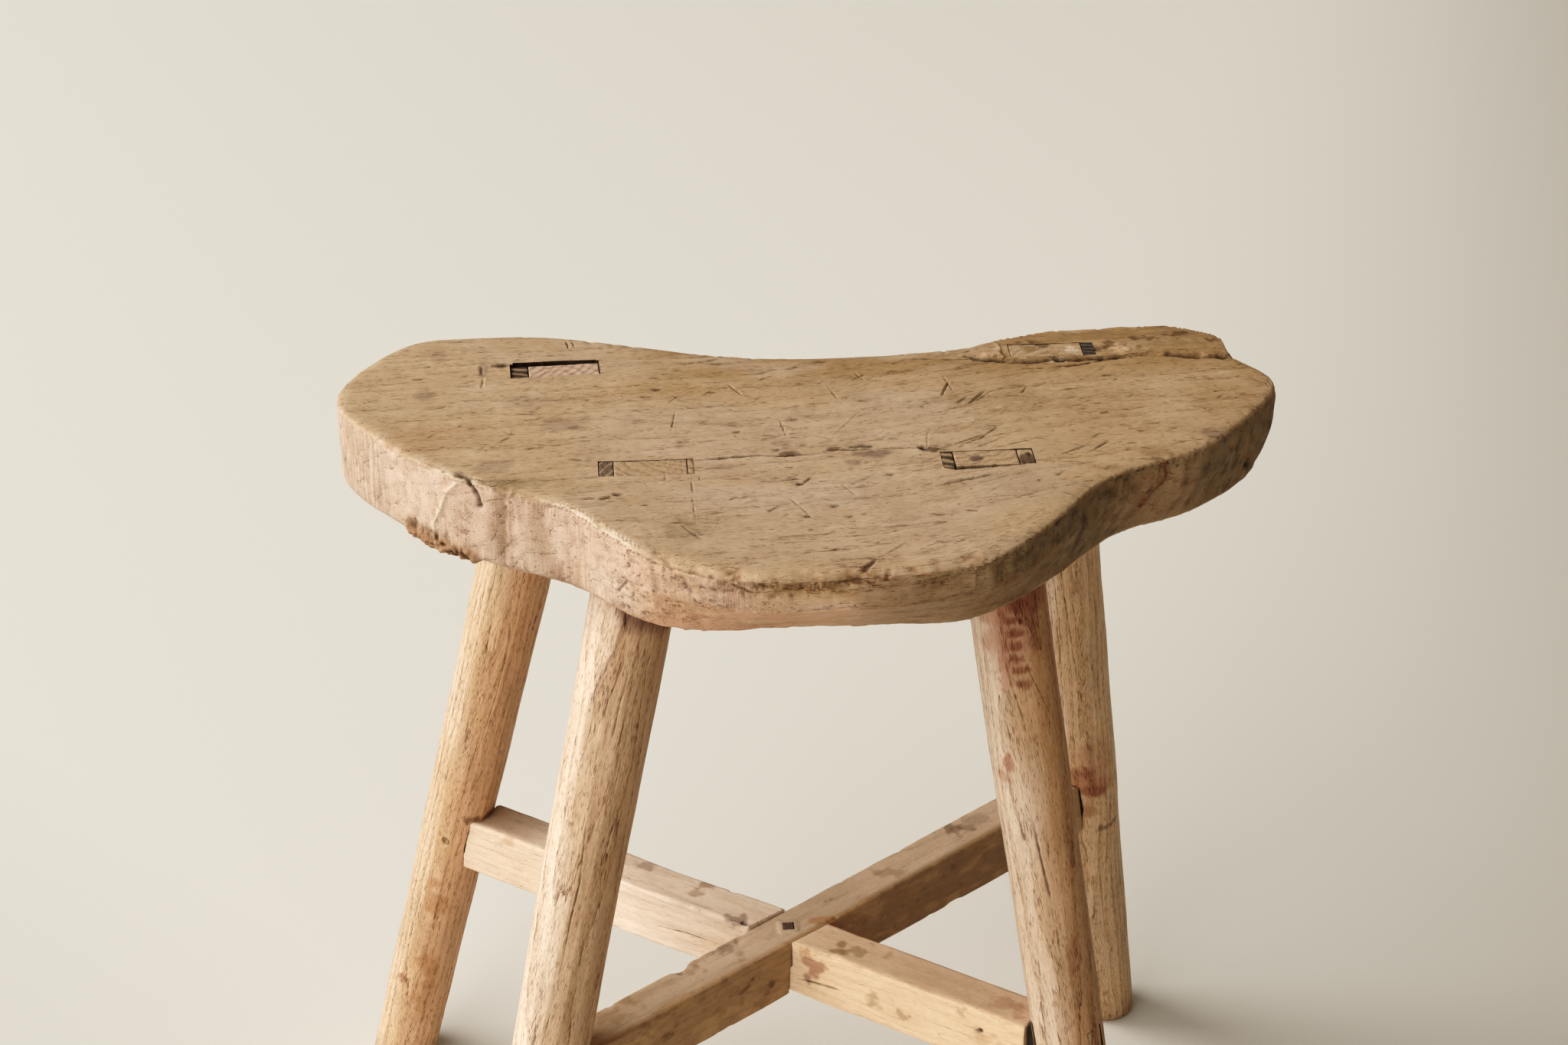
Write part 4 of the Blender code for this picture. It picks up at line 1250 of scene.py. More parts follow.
def colour_tenon(surface, place, tenon):
    """The sawn end grain of the tenon, and the grime and painted shade on its walls."""
    points = surface.points
    surface.paint(PINK_TAN if place == "back_left" else TAN, tenon)
    across = points[:, 0] - 0.65 * points[:, 1]
    saw_marks = np.sin(across * 2 * math.pi / (5 * MM) + 2 * noise(points, 8, 119))
    streaks = 0.45 if place == "back_left" else 0.15
    surface.paint(UMBER, streaks * tenon * smooth(saw_marks, 0.0, 0.9))
    walls = tenon * smooth(abs(surface.normals[:, 2]), 0.75, 0.45)
    surface.darken(JOINT_WALL_GRIME_AND_SHADE[place] * walls)


def make_leg(place, material):
    """A leg with its tenon, marks and colours, cut for its stretcher and its peg."""
    leg = LEGS[place]
    obj = leg_shaft(leg, LEG_FLATS[place])
    boolean(obj, leg_tenon(leg), "UNION")
    refine_near(obj, [at(*line) for _, _, _, *line in LEG_LINES[place]], 1.6 * MM, 2)
    surface = Surface(obj)
    points = surface.points
    shaft = smooth(points[:, 2], SEAT_BOTTOM + 1 * MM, SEAT_BOTTOM - 2 * MM)
    colour_leg(surface, place, shaft)
    colour_tenon(surface, place, 1 - shaft)
    surface.push(shaft * 0.10 * MM * noise(points, (2.5, 2.5, 30), 120 + leg.seed, 2))
    if place == "front_left":
        paint_flame(surface, leg)
    surface.grooves(LEG_LINES[place], 400, wider=1.15, darker=0.8, ragged=0.7)
    surface.blotches(LEG_STAINS[place], 430, stronger=1.15, ragged=0.55)
    surface.moved[:, 2] = np.maximum(surface.moved[:, 2], -points[:, 2])  # no foot goes below the floor
    surface.finish(leg_grain(leg, LEG_PITHS[place]), material, stretcher_cutters(leg, place))
    place_piece(obj, leg.name)


# Each pith's place, from the leg's axis at 0.3 m height, sideways and outwards in millimetres, and how far
# each of these moves for each metre up
LEG_PITHS = {
    "front_left": (12, 22, -30, 38),
    "back_left": (-24, 10, 16, 20),
    "front_right": (-14, 24, 25, 34),
    "back_right": (20, 18, 14, -24),
}


# ---------------------------------------------------------------------------------------------------
# Stretchers


def bar_frame(node):
    """A point on the stretcher's centre line, and the level ways along and across it."""
    first, second = (LEGS[place] for place in BARS[node])
    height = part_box(node)[1].z - 15 * MM
    start, end = first.axis(height), second.axis(height)
    along = (end - start) / np.linalg.norm(end - start)
    return start, along, np.cross((0, 0, 1), along)


# Heights of the stretchers' tops at their two legs, in millimetres
BAR_TOPS = {"stretcher_lower": (204.3, 198.3), "stretcher_upper": (194.6, 206.4)}
# Where the two stretchers meet under the nail
SEAM = 184.5 * MM
# Checks, chips and cracks in the stretchers: half width, depth, darkness and the line's places
BAR_LINES = {
    "stretcher_lower": [
        (0.4, 0.9, 0.75, (-96, 42, 182), (-84, 30, 182), (-70, 17, 181), (-54, 5, 183), (-37, -6, 182)),
        (0.45, 1.0, 0.85, (1, -33, 177), (8, -38, 178), (15, -43, 179), (25, -50, 180)),
        (2.2, 2.5, 1.0, (-27, -12, 202), (-23, -14, 202)),
        (0.7, 1.2, 0.85, (-33, -9, 202), (-28, -11, 202)),
        (2.2, 3.2, 1.0, (89.2, -95, 187.5), (91.0, -96, 185)),
        (0.3, 0.5, 0.4, (25, -58, 172), (45, -74, 171), (66, -91, 170)),
        (0.3, 0.5, 0.4, (-120, 60, 176), (-100, 44, 175)),
    ],
    "stretcher_upper": [
        (1.5, 1.5, 0.3, (16, -16, 201), (27, -11, 201)),
        (0.25, 0.4, 0.5, (-40, -62, 188), (-10, -39, 190)),
        (0.3, 0.5, 0.5, (35, -10, 176), (60, 10, 178)),
        (0.3, 0.4, 0.5, (-60, -62, 201), (-45, -50, 201)),
    ],
}
# Stains on the stretchers: centre and half size in millimetres, colour, strength
BAR_STAINS = {
    "stretcher_lower": [
        ((-76, 43, 203), (5, 4, 4), PLUM_GREY, 0.6),
        ((-43, 22, 202), (4, 4, 4), UMBER, 0.7),
        ((-48, 17, 202), (3, 3, 4), UMBER, 0.6),
        ((-30, -9, 202), (5, 4, 4), PLUM_GREY, 0.7),
        ((9, -38, 188), (5, 6, 7), RED_BROWN, 0.75),
        ((5, -36, 196), (4, 5, 3), ORANGE_BROWN, 0.60),
        ((25, -35, 202), (3.5, 3, 4), UMBER, 0.85),
        ((22, -42, 202), (4, 3, 4), UMBER, 0.75),
        ((30, -41, 202), (6, 3.5, 4), UMBER, 0.65),
        ((41, -36, 202), (3, 3, 4), UMBER, 0.60),
        ((48, -47, 202), (3, 3, 4), UMBER, 0.45),
        ((38, -60, 181), (4, 4, 4), UMBER, 0.55),
        ((53, -69, 179), (3, 3, 3), UMBER, 0.55),
        ((81, -89, 194), (3, 3, 3), UMBER, 0.45),
        ((104, -87, 200), (6, 6, 4), RED_BROWN, 0.35),
        ((109, -94, 200), (6, 6, 4), RED_BROWN, 0.45),
        ((94, -98, 182), (10, 8, 4), ORANGE_BROWN, 0.35),
        ((-150, 78, 200), (6, 6, 4), ORANGE_BROWN, 0.35),
    ],
    "stretcher_upper": [
        ((-53, -45, 201), (7, 5, 4), UMBER, 0.55),
        ((-37, -31, 201), (6, 5, 4), PLUM_GREY, 0.65),
        ((-31, -40, 201), (6, 4, 4), UMBER, 0.55),
        ((-60, -48, 201), (8, 4, 4), DARK_BROWN, 0.55),
        ((-87, -67, 200), (7, 5, 4), UMBER, 0.45),
        ((-100, -80, 199), (8, 6, 4), UMBER, 0.35),
        ((-33, -52, 186), (3, 3, 3), UMBER, 0.55),
        ((-28, -49, 184), (4, 4, 3), DARK_BROWN, 0.60),
        ((-22, -45, 189), (3, 3, 2), DARK_BROWN, 0.65),
        ((-13, -39, 179), (2, 2, 2), DARK_BROWN, 0.75),
        ((-16, -41, 169), (8, 6, 2.5), UMBER, 0.60),
        ((-41, -58, 177), (4, 4, 3), UMBER, 0.55),
        ((-71, -78, 181), (3, 3, 2), DARK_BROWN, 0.60),
        ((-18, -42, 178), (3, 3, 3), UMBER, 0.50),
        ((57, 24, 203), (6, 5, 4), UMBER, 0.50),
        ((98, 59, 204), (7, 4, 4), DARK_BROWN, 0.55),
        ((104, 60, 204), (6, 4, 4), DARK_BROWN, 0.50),
        ((112, 66, 204), (8, 5, 4), PLUM_GREY, 0.45),
        ((20, -14, 201), (8, 3, 4), ORANGE_BROWN, 0.70),
    ],
}


def bar_grain(node):
    """The grain runs along the stretcher and bends a little."""

    def grain(points):
        start, along, across = bar_frame(node)
        offset = points - start
        run, over = offset @ along, offset @ across
        bend = 1.5 * MM * noise(points, 70, 130)
        return np.stack([over + bend + 0.03, offset[:, 2] + 0.05 + 0.03 * run, run], axis=1)

    return grain


def shape_lower_bar(surface, run, over, height):
    """The stretcher under: bowed to the front in its left half."""
    _, _, across = bar_frame("stretcher_lower")
    surface.moved -= across * (2.2 * MM * bell(run - 140 * MM, 48 * MM))[:, None]
    left_side = smooth(over, -6 * MM, -10 * MM)
    surface.push(left_side * 0.5 * MM * noise(surface.points, (30, 30, 9), 140, 2))


def shape_upper_bar(surface, run, over, height):
    """The stretcher over: its far top edge is chipped away in its left half."""
    chips = patches(surface.points, 9, 141, -0.3, 0.6)
    middle = smooth(run, 84 * MM, 96 * MM) * smooth(run, 138 * MM, 124 * MM)
    edge = bell(np.hypot(over - HALF_BAR, height), 4 * MM)
    surface.push(-3.0 * MM * edge * middle * chips)
    surface.paint(UMBER, 0.5 * edge * middle)


def colour_upper_bar(surface, run, over, near):
    """Brown on its near side, paler at its far end."""
    points = surface.points
    right = smooth(run, 190 * MM, 215 * MM)
    surface.paint((0.42, 0.27, 0.15), 0.8 * near)
    surface.paint((0.31, 0.22, 0.14), 0.6 * right * near)
    surface.paint((0.66, 0.45, 0.27), 0.4 * near * patches(points, (12, 12, 7), 157, -0.2, 0.7, 3))
    surface.paint(DARK_BROWN, 0.35 * near * patches(points, 5, 158, 0.4, 1.0, 3))
    surface.paint(ASH, 0.5 * right * (1 - near))
    far_end = smooth(run, run.max() - 75 * MM, run.max() - 60 * MM)
    surface.paint((0.60, 0.43, 0.28), 0.75 * near * far_end)


def colour_lower_bar(surface, run, over, near):
    """Bleached on its near side and orange to the right."""
    surface.paint(ASH_LIGHT, 0.65 * near * smooth(run, 190 * MM, 130 * MM))
    surface.paint((0.50, 0.36, 0.255), 0.7 * (1 - near) * smooth(run, 75 * MM, 35 * MM))
    surface.paint((0.86, 0.66, 0.46), 0.35 * near * smooth(run, 90 * MM, 50 * MM))
    right = smooth(run, 205 * MM, 235 * MM)
    surface.paint((0.93, 0.71, 0.49), 0.75 * right * near)
    surface.paint((0.72, 0.50, 0.33), 0.60 * right * (1 - near))
    # Painted shade: the near side of the thin end in the front right leg's gap is painted nearly black.
    shoulder = run[over < 0.5 * MM - HALF_BAR].max()
    gap_shade = smooth(run, shoulder, shoulder + 0.6 * MM) * smooth(over, -4 * MM, -6 * MM)
    gap_shade *= smooth(run, run.max() - 11 * MM, run.max() - 13 * MM)
    surface.darken(0.97 * gap_shade)


def colour_bar(surface, node, run, over, height):
    """Streaks along the stretcher, its own colours, a worn brown end and darker edges."""
    points = surface.points
    upper = node == "stretcher_upper"
    _, along, across = bar_frame(node)
    stretched = points @ np.stack([along / 5, across, np.array((0, 0, 1.0))], axis=1)
    near = smooth(over, -6 * MM, -11 * MM)
    surface.tint[:] = (0.62, 0.49, 0.37) if upper else (0.88, 0.75, 0.64)
    grey, honey, light, brown = (0.7, 0.4, 0.2, 0.35) if upper else (0.2, 0.3, 0.5, 0.15)
    surface.paint(GREY_TAN, grey * patches(stretched, 9, 150, -0.6, 0.8))
    surface.paint(HONEY, honey * patches(stretched, 14, 151 + upper, 0.0, 0.9))
    surface.paint(ASH_LIGHT, light * patches(stretched, 11, 153, 0.0, 0.9))
    surface.paint(UMBER, brown * patches(stretched, 6, 155, 0.2, 1.1, 3))
    own_colours = colour_upper_bar if upper else colour_lower_bar
    own_colours(surface, run, over, near)
    ends = smooth(run, run.max() - 10 * MM, run.max() - 5 * MM)
    surface.paint((0.58, 0.40, 0.26), 0.9 * ends)
    to_level_face = np.minimum(abs(height), abs(height + BAR_HEIGHT))
    worn = smooth(np.minimum(abs(abs(over) - HALF_BAR), 1) + to_level_face, 3 * MM, 0)
    surface.paint(UMBER, 0.25 * worn * patches(points, 8, 156, 0.1, 0.8))


NAIL_HALF_WIDTHS = (1.5, 2.75)  # at its point and its head, in millimetres


def round_nail(name, *levels):
    """A square block round the nail's line, from pairs of a height and a half width in millimetres."""
    low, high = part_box("crossing_nail")
    x, y = (low.x + high.x) / 2, (low.y + high.y) / 2
    corners = []
    for z, half in levels:
        corners += [(x + a * half * MM, y + b * half * MM, z) for a in (-1, 1) for b in (-1, 1)]
    return hull_object(name, corners)


def nail_hole(spare):
    low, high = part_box("crossing_nail")
    point, head = (half + spare for half in NAIL_HALF_WIDTHS)
    return round_nail("nail_hole", (low.z - 1 * MM, point), (high.z, head), (high.z + CUT_PAST, head))


def nail_plug(node):
    """Fills the nail's hole in a stretcher, but not where the stretchers meet."""
    low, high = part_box("crossing_nail")
    lower = node == "stretcher_lower"
    heights = (low.z - 4 * MM, SEAM - 2 * MM) if lower else (SEAM + 2 * MM, high.z - 0.05 * MM)
    return round_nail("plug", *((z, 5) for z in heights))


def make_bar(node, material):
    """A stretcher with its marks and colours, cut for the nail."""
    start, along, across = bar_frame(node)
    bar = even_mesh(node, BAR_VOXEL, math.atan2(along[1], along[0]), extra=[nail_plug(node)])
    refine_near(bar, [at(*line) for _, _, _, *line in BAR_LINES[node]], 1.5 * BAR_VOXEL, 2)
    surface = Surface(bar)
    offset = surface.points - start
    run, over = offset @ along, offset @ across
    over = over - (over.max() + over.min()) / 2
    first, second = (LEGS[place].axis(0.2) for place in BARS[node])
    first_top, second_top = BAR_TOPS[node]
    rise = (second_top - first_top) / np.linalg.norm(second - first)
    height = surface.points[:, 2] - (first_top * MM + run * rise * MM)
    colour_bar(surface, node, run, over, height)
    shape = {"stretcher_lower": shape_lower_bar, "stretcher_upper": shape_upper_bar}[node]
    shape(surface, run, over, height)
    points = surface.points
    surface.push(0.18 * MM * noise(points, 22, 160, 2) + 0.05 * MM * noise(points, 4, 161, 2))
    to_level_face = np.minimum(abs(height), abs(height + BAR_HEIGHT))
    edge = bell(np.hypot(abs(over) - HALF_BAR, to_level_face), 2 * MM)
    surface.push(0.35 * MM * edge - 0.8 * MM * edge * patches(points, 9, 162, 0.35, 1.0))
    surface.grooves(BAR_LINES[node], 500)
    surface.blotches(BAR_STAINS[node], 530, stronger=0.9, ragged=1.0)
    surface.finish(bar_grain(node), material, [nail_hole(0.3)])
    place_piece(bar, node)


# ---------------------------------------------------------------------------------------------------
# Packing, pegs and the nail


# The wedges' stripes: ground colour, stripe colour, slant, width of a pair in millimetres, and where in each
# wave the stripe starts
WEDGE_STRIPES = {
    "wedge_back_left": ((0.40, 0.30, 0.21), (0.115, 0.092, 0.072), 0.25, 5.2, -0.55),
    "wedge_front_left": ((0.25, 0.185, 0.14), (0.42, 0.34, 0.27), -1.3, 7.5, 0.55),
    "wedge_front_right": ((0.46, 0.35, 0.24), (0.125, 0.10, 0.08), 0.30, 6.0, -0.30),
    "wedge_back_right": ((0.20, 0.165, 0.135), (0.085, 0.075, 0.068), 0.15, 3.6, -0.60),
}


def colour_wedge(surface, node):
    x, y, _ = surface.points.T
    ground, band, slant, period, start = WEDGE_STRIPES[node]
    surface.tint[:] = ground
    wobble = 1.0 * noise(surface.points, 4, 170)
    stripes = np.sin((y + slant * x) * 2 * math.pi / (period * MM) + wobble)
    surface.paint(band, smooth(stripes, start, start + 0.35))


def colour_filler(surface, node):
    """Its middle is dark and knotty, and its right end is as pale as the seat."""
    points = surface.points
    x, y, _ = points.T
    low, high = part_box(node)
    offset = np.hypot((x - 0.55 * low.x - 0.45 * high.x) / 5.2, (y - (low.y + high.y) / 2) / 6.6) / MM
    middle = smooth(offset + 0.25 * noise(points, 4, 173, 2), 1.1, 0.85)
    surface.tint[:] = TAN
    surface.paint((0.24, 0.18, 0.13), middle)
    surface.paint(NEARLY_BLACK, 0.6 * patches(points, (2.2, 3, 5), 171, -0.2, 0.5) * middle)


def make_packing(leg, node, slot_name, material):
    """A wedge, shim or filler, with the stripes of its own end grain."""
    piece = even_mesh(node, SMALL_VOXEL, leg.turn)
    surface = Surface(piece)
    points = surface.points
    lower_tenon(surface, leg)
    if slot_name == "dark_wedge_wood":
        colour_wedge(surface, node)
    elif slot_name == "filler_wood":
        colour_filler(surface, node)
    else:
        surface.tint[:] = TAN
        surface.paint(UMBER, 0.5 * patches(points, 3, 172, -0.2, 0.6))
    surface.finish(lambda points: points[:, [1, 0, 2]] + 0.03, material)
    place_piece(piece, node)


def make_peg(place, material):
    node = "peg_" + place
    peg = even_mesh(node, PEG_VOXEL)
    surface = Surface(peg)
    surface.tint[:] = UMBER
    surface.paint(HONEY, patches(surface.points, 2, 180, -0.3, 0.5))
    surface.finish(lambda points: points, material)
    place_piece(peg, node)


def make_nail(material):
    """The square nail, with a hammered and pitted head."""
    node = "crossing_nail"
    nail = even_mesh(node, NAIL_VOXEL)
    surface = Surface(nail)
    points = surface.points
    surface.tint[:] = (0.17, 0.135, 0.115)
    surface.paint(RED_BROWN, 0.35 * patches(points, 1.2, 190, 0.0, 0.8))
    surface.push(0.15 * MM * noise(points, 1.5, 191, 2))
    head = smooth(points[:, 2], points[:, 2].max() - 1 * MM, points[:, 2].max())
    surface.moved[:, 2] += head * 0.3 * MM
    surface.finish(lambda points: points, material)
    place_piece(nail, node)


def place_piece(obj, node):
    """The look of one CAD node: it replaces the node, which is hidden, and hangs from the root body."""
    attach(obj, "root")
    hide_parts(node)


# ---------------------------------------------------------------------------------------------------
# Materials


class Nodes:
    """Short ways to add shader nodes to one material."""

    def __init__(self, name):
        self.material = bpy.data.materials.new(name)
        self.material.use_nodes = True
        self.tree = self.material.node_tree
        self.shader = self.tree.nodes["Principled BSDF"]

    def add(self, kind, inputs=None, **settings):
        node = self.tree.nodes.new(kind)
        for key, value in settings.items():
            setattr(node, key, value)
        for key, value in (inputs or {}).items():
            self.put(node.inputs[key], value)
        return node

    def put(self, socket, value):
        if isinstance(value, bpy.types.NodeSocket):
            self.tree.links.new(value, socket)
        else:
            socket.default_value = value

    def set(self, name, value):
        """Gives one of the shader's own sockets a constant or a link."""
        self.put(self.shader.inputs[name], value)

    def bump(self, height, strength, distance):
        inputs = {"Height": height, "Strength": strength, "Distance": distance}
        self.set("Normal", self.add("ShaderNodeBump", inputs).outputs[0])

    def place(self):
        return self.add("ShaderNodeTexCoord").outputs["Object"]

    def dot(self, vector, way):
        inputs = {0: vector, 1: way}
        return self.add("ShaderNodeVectorMath", inputs, operation="DOT_PRODUCT").outputs["Value"]

    def attribute(self, name, output):
        return self.add("ShaderNodeAttribute", attribute_name=name).outputs[output]

    def scaled(self, vector, scale):
        inputs = {0: vector, 1: scale}
        return self.add("ShaderNodeVectorMath", inputs, operation="MULTIPLY").outputs[0]

    def noise(self, vector, scale, detail=3.0, roughness=0.55):
        """Noise that changes scale times in a metre, on each axis."""
        inputs = {"Vector": self.scaled(vector, scale), "Scale": 1.0, "Detail": detail}
        inputs |= {"Roughness": roughness, "Distortion": 0.0}
        return self.add("ShaderNodeTexNoise", inputs).outputs[0]

    def fit(self, value, low, high, to_low=0.0, to_high=1.0):
        inputs = {0: value, 1: low, 2: high, 3: to_low, 4: to_high}
        return self.add("ShaderNodeMapRange", inputs).outputs[0]

    def math(self, operation, first, second):
        return self.add("ShaderNodeMath", {0: first, 1: second}, operation=operation).outputs[0]

    def times(self, first, second):
        return self.math("MULTIPLY", first, second)

    def blend(self, share, first, second, kind="MIX"):
        node = self.add("ShaderNodeMix", data_type="RGBA", blend_type=kind, clamp_factor=True)
        self.put(node.inputs[0], share)
        self.put(node.inputs[6], first)
        self.put(node.inputs[7], second)
        return node.outputs[2]


@dataclass
class WoodLook:
    """How strongly a wood's grain and wear show."""

    ring: float  # width of the growth rings, in millimetres
    early: float  # how much darker the porous inner part of each ring is
    line: float  # how dark the broken line at each ring's start is
    pore: float  # how dark the open pores are
    pore_share: float  # how many there are, from 0 to 1
    fibre: float  # how much the fine streaks vary the colour
    cloud: float  # how much broad patches vary it
    speck: float  # how dark the small dirt specks are
    scratch: float  # how strongly slanting scratches show
    bump: float
    roughness: float


# How much lighter than its broad colour a wood is between its fibres
BETWEEN_FIBRES = (1.03, 1.03, 1.045, 1)
# How often the patterns change in a metre: twice across the grain, then along it
WAVER = (60, 60, 9)
FIBRES = (1100, 1100, 36)
SHORT_FIBRES = (1500, 1500, 230)
PORES = (2800, 2800, 215)
GAPS = (260, 260, 60)
SCRATCHES = (1500, 900, 75)
# The same on the object's own axes
CLOUDS = (38, 38, 38)
SAW_MARKS = (800, 800, 30)
SPECKS = (420, 420, 420)


def scratches(nodes, grain, turn):
    """Thin scratches at an angle to the grain."""
    turned = nodes.add("ShaderNodeMapping", {"Vector": grain, "Rotation": (0, turn, 0)}).outputs[0]
    return nodes.fit(nodes.noise(turned, SCRATCHES, detail=1.0, roughness=0.4), 0.735, 0.79)


def growth_rings(nodes, grain, look):
    """For the rings round the pith: how near the porous early wood is, and how near each ring's start."""
    section = nodes.scaled(grain, (1, 1, 0))
    radius = nodes.add("ShaderNodeVectorMath", {0: section}, operation="LENGTH").outputs["Value"]
    waver = nodes.noise(grain, WAVER, detail=4.0, roughness=0.5)
    turns = nodes.math("ADD", nodes.times(radius, 1000 / look.ring), nodes.times(waver, 3.0))
    phase = nodes.math("FRACT", turns, 0.0)
    return nodes.fit(phase, 0.60, 0.0), nodes.fit(phase, 0.10, 0.0)


def wood_material(name, look):
    """Wood with the mesh's own tint and cracks, under rings, fibres, pores, stains, scratches and dirt."""
    nodes = Nodes(name)
    tint = nodes.attribute("tint", "Color")
    grain = nodes.attribute("grain", "Vector")
    dark = nodes.attribute("dark", "Fac")
    place = nodes.place()
    early, start = growth_rings(nodes, grain, look)
    fibre = nodes.noise(grain, FIBRES, detail=4.0, roughness=0.65)
    short_fibre = nodes.noise(grain, SHORT_FIBRES, detail=3.0, roughness=0.6)
    pores = nodes.noise(grain, PORES, detail=2.0, roughness=0.5)
    gaps = nodes.noise(grain, GAPS, detail=3.0, roughness=0.6)
    cloud = nodes.noise(place, CLOUDS, detail=5.0, roughness=0.65)
    saw_marks = nodes.noise(place, SAW_MARKS, detail=3.0, roughness=0.6)
    saw = nodes.times(nodes.fit(saw_marks, 0.40, 0.62), nodes.attribute("saw", "Fac"))
    specks = nodes.noise(place, SPECKS, detail=3.0, roughness=0.5)

    # A pore is open where its noise is above a limit, which is lower in the early wood.
    share = nodes.times(nodes.math("ADD", early, nodes.fit(gaps, 0.35, 0.65)), 0.07)
    limit = nodes.math("SUBTRACT", 0.74 - 0.10 * look.pore_share, share)
    pore = nodes.fit(nodes.math("SUBTRACT", pores, limit), 0.0, 0.05)
    crack = nodes.times(start, nodes.fit(gaps, 0.50, 0.62))

    # Each layer: where it is, how strong it is, and what it multiplies the colour by
    layers = (
        (nodes.fit(fibre, 0.32, 0.68), 0.65 * look.fibre, (0.60, 0.48, 0.36)),
        (nodes.fit(short_fibre, 0.34, 0.66), 0.9 * look.fibre, (0.62, 0.52, 0.42)),
        (early, look.early, (0.62, 0.47, 0.34)),
        (nodes.fit(cloud, 0.35, 0.68), look.cloud, (0.62, 0.52, 0.42)),
        (saw, 0.5, (0.58, 0.46, 0.38)),
        (scratches(nodes, grain, 0.55), look.scratch, (0.30, 0.22, 0.16)),
        (scratches(nodes, grain, -0.75), 0.5 * look.scratch, (1.3, 1.35, 1.4)),
        (crack, look.line, (0.25, 0.18, 0.13)),
        (pore, look.pore, (0.30, 0.22, 0.16)),
    )
    colour = nodes.blend(1.0, tint, BETWEEN_FIBRES, "MULTIPLY")
    for where, strength, shade in layers:
        colour = nodes.blend(nodes.times(where, strength), colour, (*shade, 1), "MULTIPLY")
    speck = nodes.times(nodes.fit(specks, 0.68, 0.75), look.speck)
    colour = nodes.blend(speck, colour, (0.05, 0.035, 0.025, 1))
    nodes.set("Base Color", nodes.blend(nodes.times(dark, 0.96), colour, (0.022, 0.015, 0.010, 1)))
    nodes.set("Roughness", nodes.fit(cloud, 0.3, 0.7, look.roughness - 0.07, look.roughness + 0.07))
    nodes.set("Specular IOR Level", 0.3)

    height = nodes.math("ADD", nodes.times(fibre, 0.7), nodes.times(specks, 0.3))
    for where, depth in ((short_fibre, 0.9), (pore, 0.5), (crack, 1.2), (saw, 0.8)):
        height = nodes.math("SUBTRACT", height, nodes.times(where, depth))
    nodes.bump(height, look.bump, 0.4 * MM)
    return nodes.material


def joint_grime_and_shade_material():
    """The walls inside the joints: dark grime and painted shade."""
    nodes = Nodes("joint_grime_and_shade")
    grime = nodes.noise(nodes.place(), (300, 300, 300))
    colour = nodes.blend(nodes.fit(grime, 0.35, 0.65), (0.035, 0.023, 0.015, 1), (0.115, 0.074, 0.045, 1))
    nodes.set("Base Color", colour)
    nodes.set("Roughness", 0.9)
    return nodes.material


def iron_material():
    """Dull iron with patches of rust."""
    nodes = Nodes("nail_iron")
    tint = nodes.attribute("tint", "Color")
    rust = nodes.noise(nodes.place(), (900, 900, 900), detail=4.0)
    nodes.set("Base Color", nodes.blend(nodes.fit(rust, 0.45, 0.65, 0.0, 0.6), tint, (0.13, 0.06, 0.03, 1)))
    nodes.set("Metallic", nodes.fit(rust, 0.4, 0.7, 0.40, 0.1))
    nodes.set("Roughness", nodes.fit(rust, 0.3, 0.7, 0.42, 0.7))
    nodes.bump(rust, 0.6, 0.2 * MM)
    return nodes.material


WOODS = {
    "seat_wood": WoodLook(9.0, 0.10, 0.35, 0.75, 0.55, 0.36, 0.34, 0.60, 0.8, 0.6, 0.64),
    "leg_wood": WoodLook(4.2, 0.34, 0.75, 0.70, 0.90, 0.40, 0.15, 0.10, 0.0, 0.5, 0.56),
    "stretcher_wood": WoodLook(5.0, 0.10, 0.22, 0.30, 0.30, 0.25, 0.22, 0.30, 0.0, 0.4, 0.64),
    "dark_wedge_wood": WoodLook(3.0, 0.15, 0.3, 0.3, 0.3, 0.3, 0.3, 0.3, 0.0, 0.5, 0.65),
    "filler_wood": WoodLook(3.0, 0.25, 0.4, 0.5, 0.5, 0.4, 0.3, 0.5, 0.0, 0.6, 0.72),
}


def floor_material():
    """Pale paint with painted shade: its colour gets darker to the right and a little darker at the near
    left.
    """
    nodes = Nodes("floor_paint")
    place = nodes.place()
    fine = nodes.noise(place, (160, 160, 160))
    shade = nodes.math("POWER", nodes.fit(nodes.dot(place, FLOOR_PAINTED_SHADE_WAY), 0.0, 0.55), 1.6)
    colour = nodes.blend(shade, FLOOR_COLOUR, FLOOR_SHADED_COLOUR)
    painted_dim = nodes.fit(nodes.dot(place, FLOOR_PAINTED_DIM_WAY), 0.05, 0.42, 0.0, 0.14)
    nodes.set("Base Color", nodes.blend(painted_dim, colour, (0.0, 0.0, 0.0, 1)))
    nodes.set("Roughness", 0.6)
    nodes.set("Specular IOR Level", 0.25)
    nodes.bump(fine, 0.15, 0.3 * MM)
    return nodes.material


# ---------------------------------------------------------------------------------------------------
# Floor, light and camera

FLOOR_COLOUR = (0.80, 0.785, 0.752, 1)
# The floor's colour where its painted shade is full
FLOOR_SHADED_COLOUR = (0.56, 0.535, 0.50, 1)
FLOOR_PAINTED_SHADE_WAY = (1.0, -0.353, 0.0)  # painted shade: the floor's colour gets darker this way
FLOOR_PAINTED_DIM_WAY = (-0.75, -0.66, 0.0)  # and a little more painted shade this way
# Each light's direction in degrees from +X towards +Y, its height in degrees, its size in metres, its power
LIGHTS = {
    "window": (168, 40, 9.0, 1230.0),
    "soft_window": (219, 30, 16.0, 1480.0),
}
LIGHT_DISTANCE = 14.0
AMBIENT = 0.27
AMBIENT_COLOUR = (1.0, 0.88, 0.68, 1)
TONE_CURVE = [(0.03, 0.009), (0.08, 0.038), (0.16, 0.115), (0.30, 0.275), (0.50, 0.52), (0.75, 0.785)]

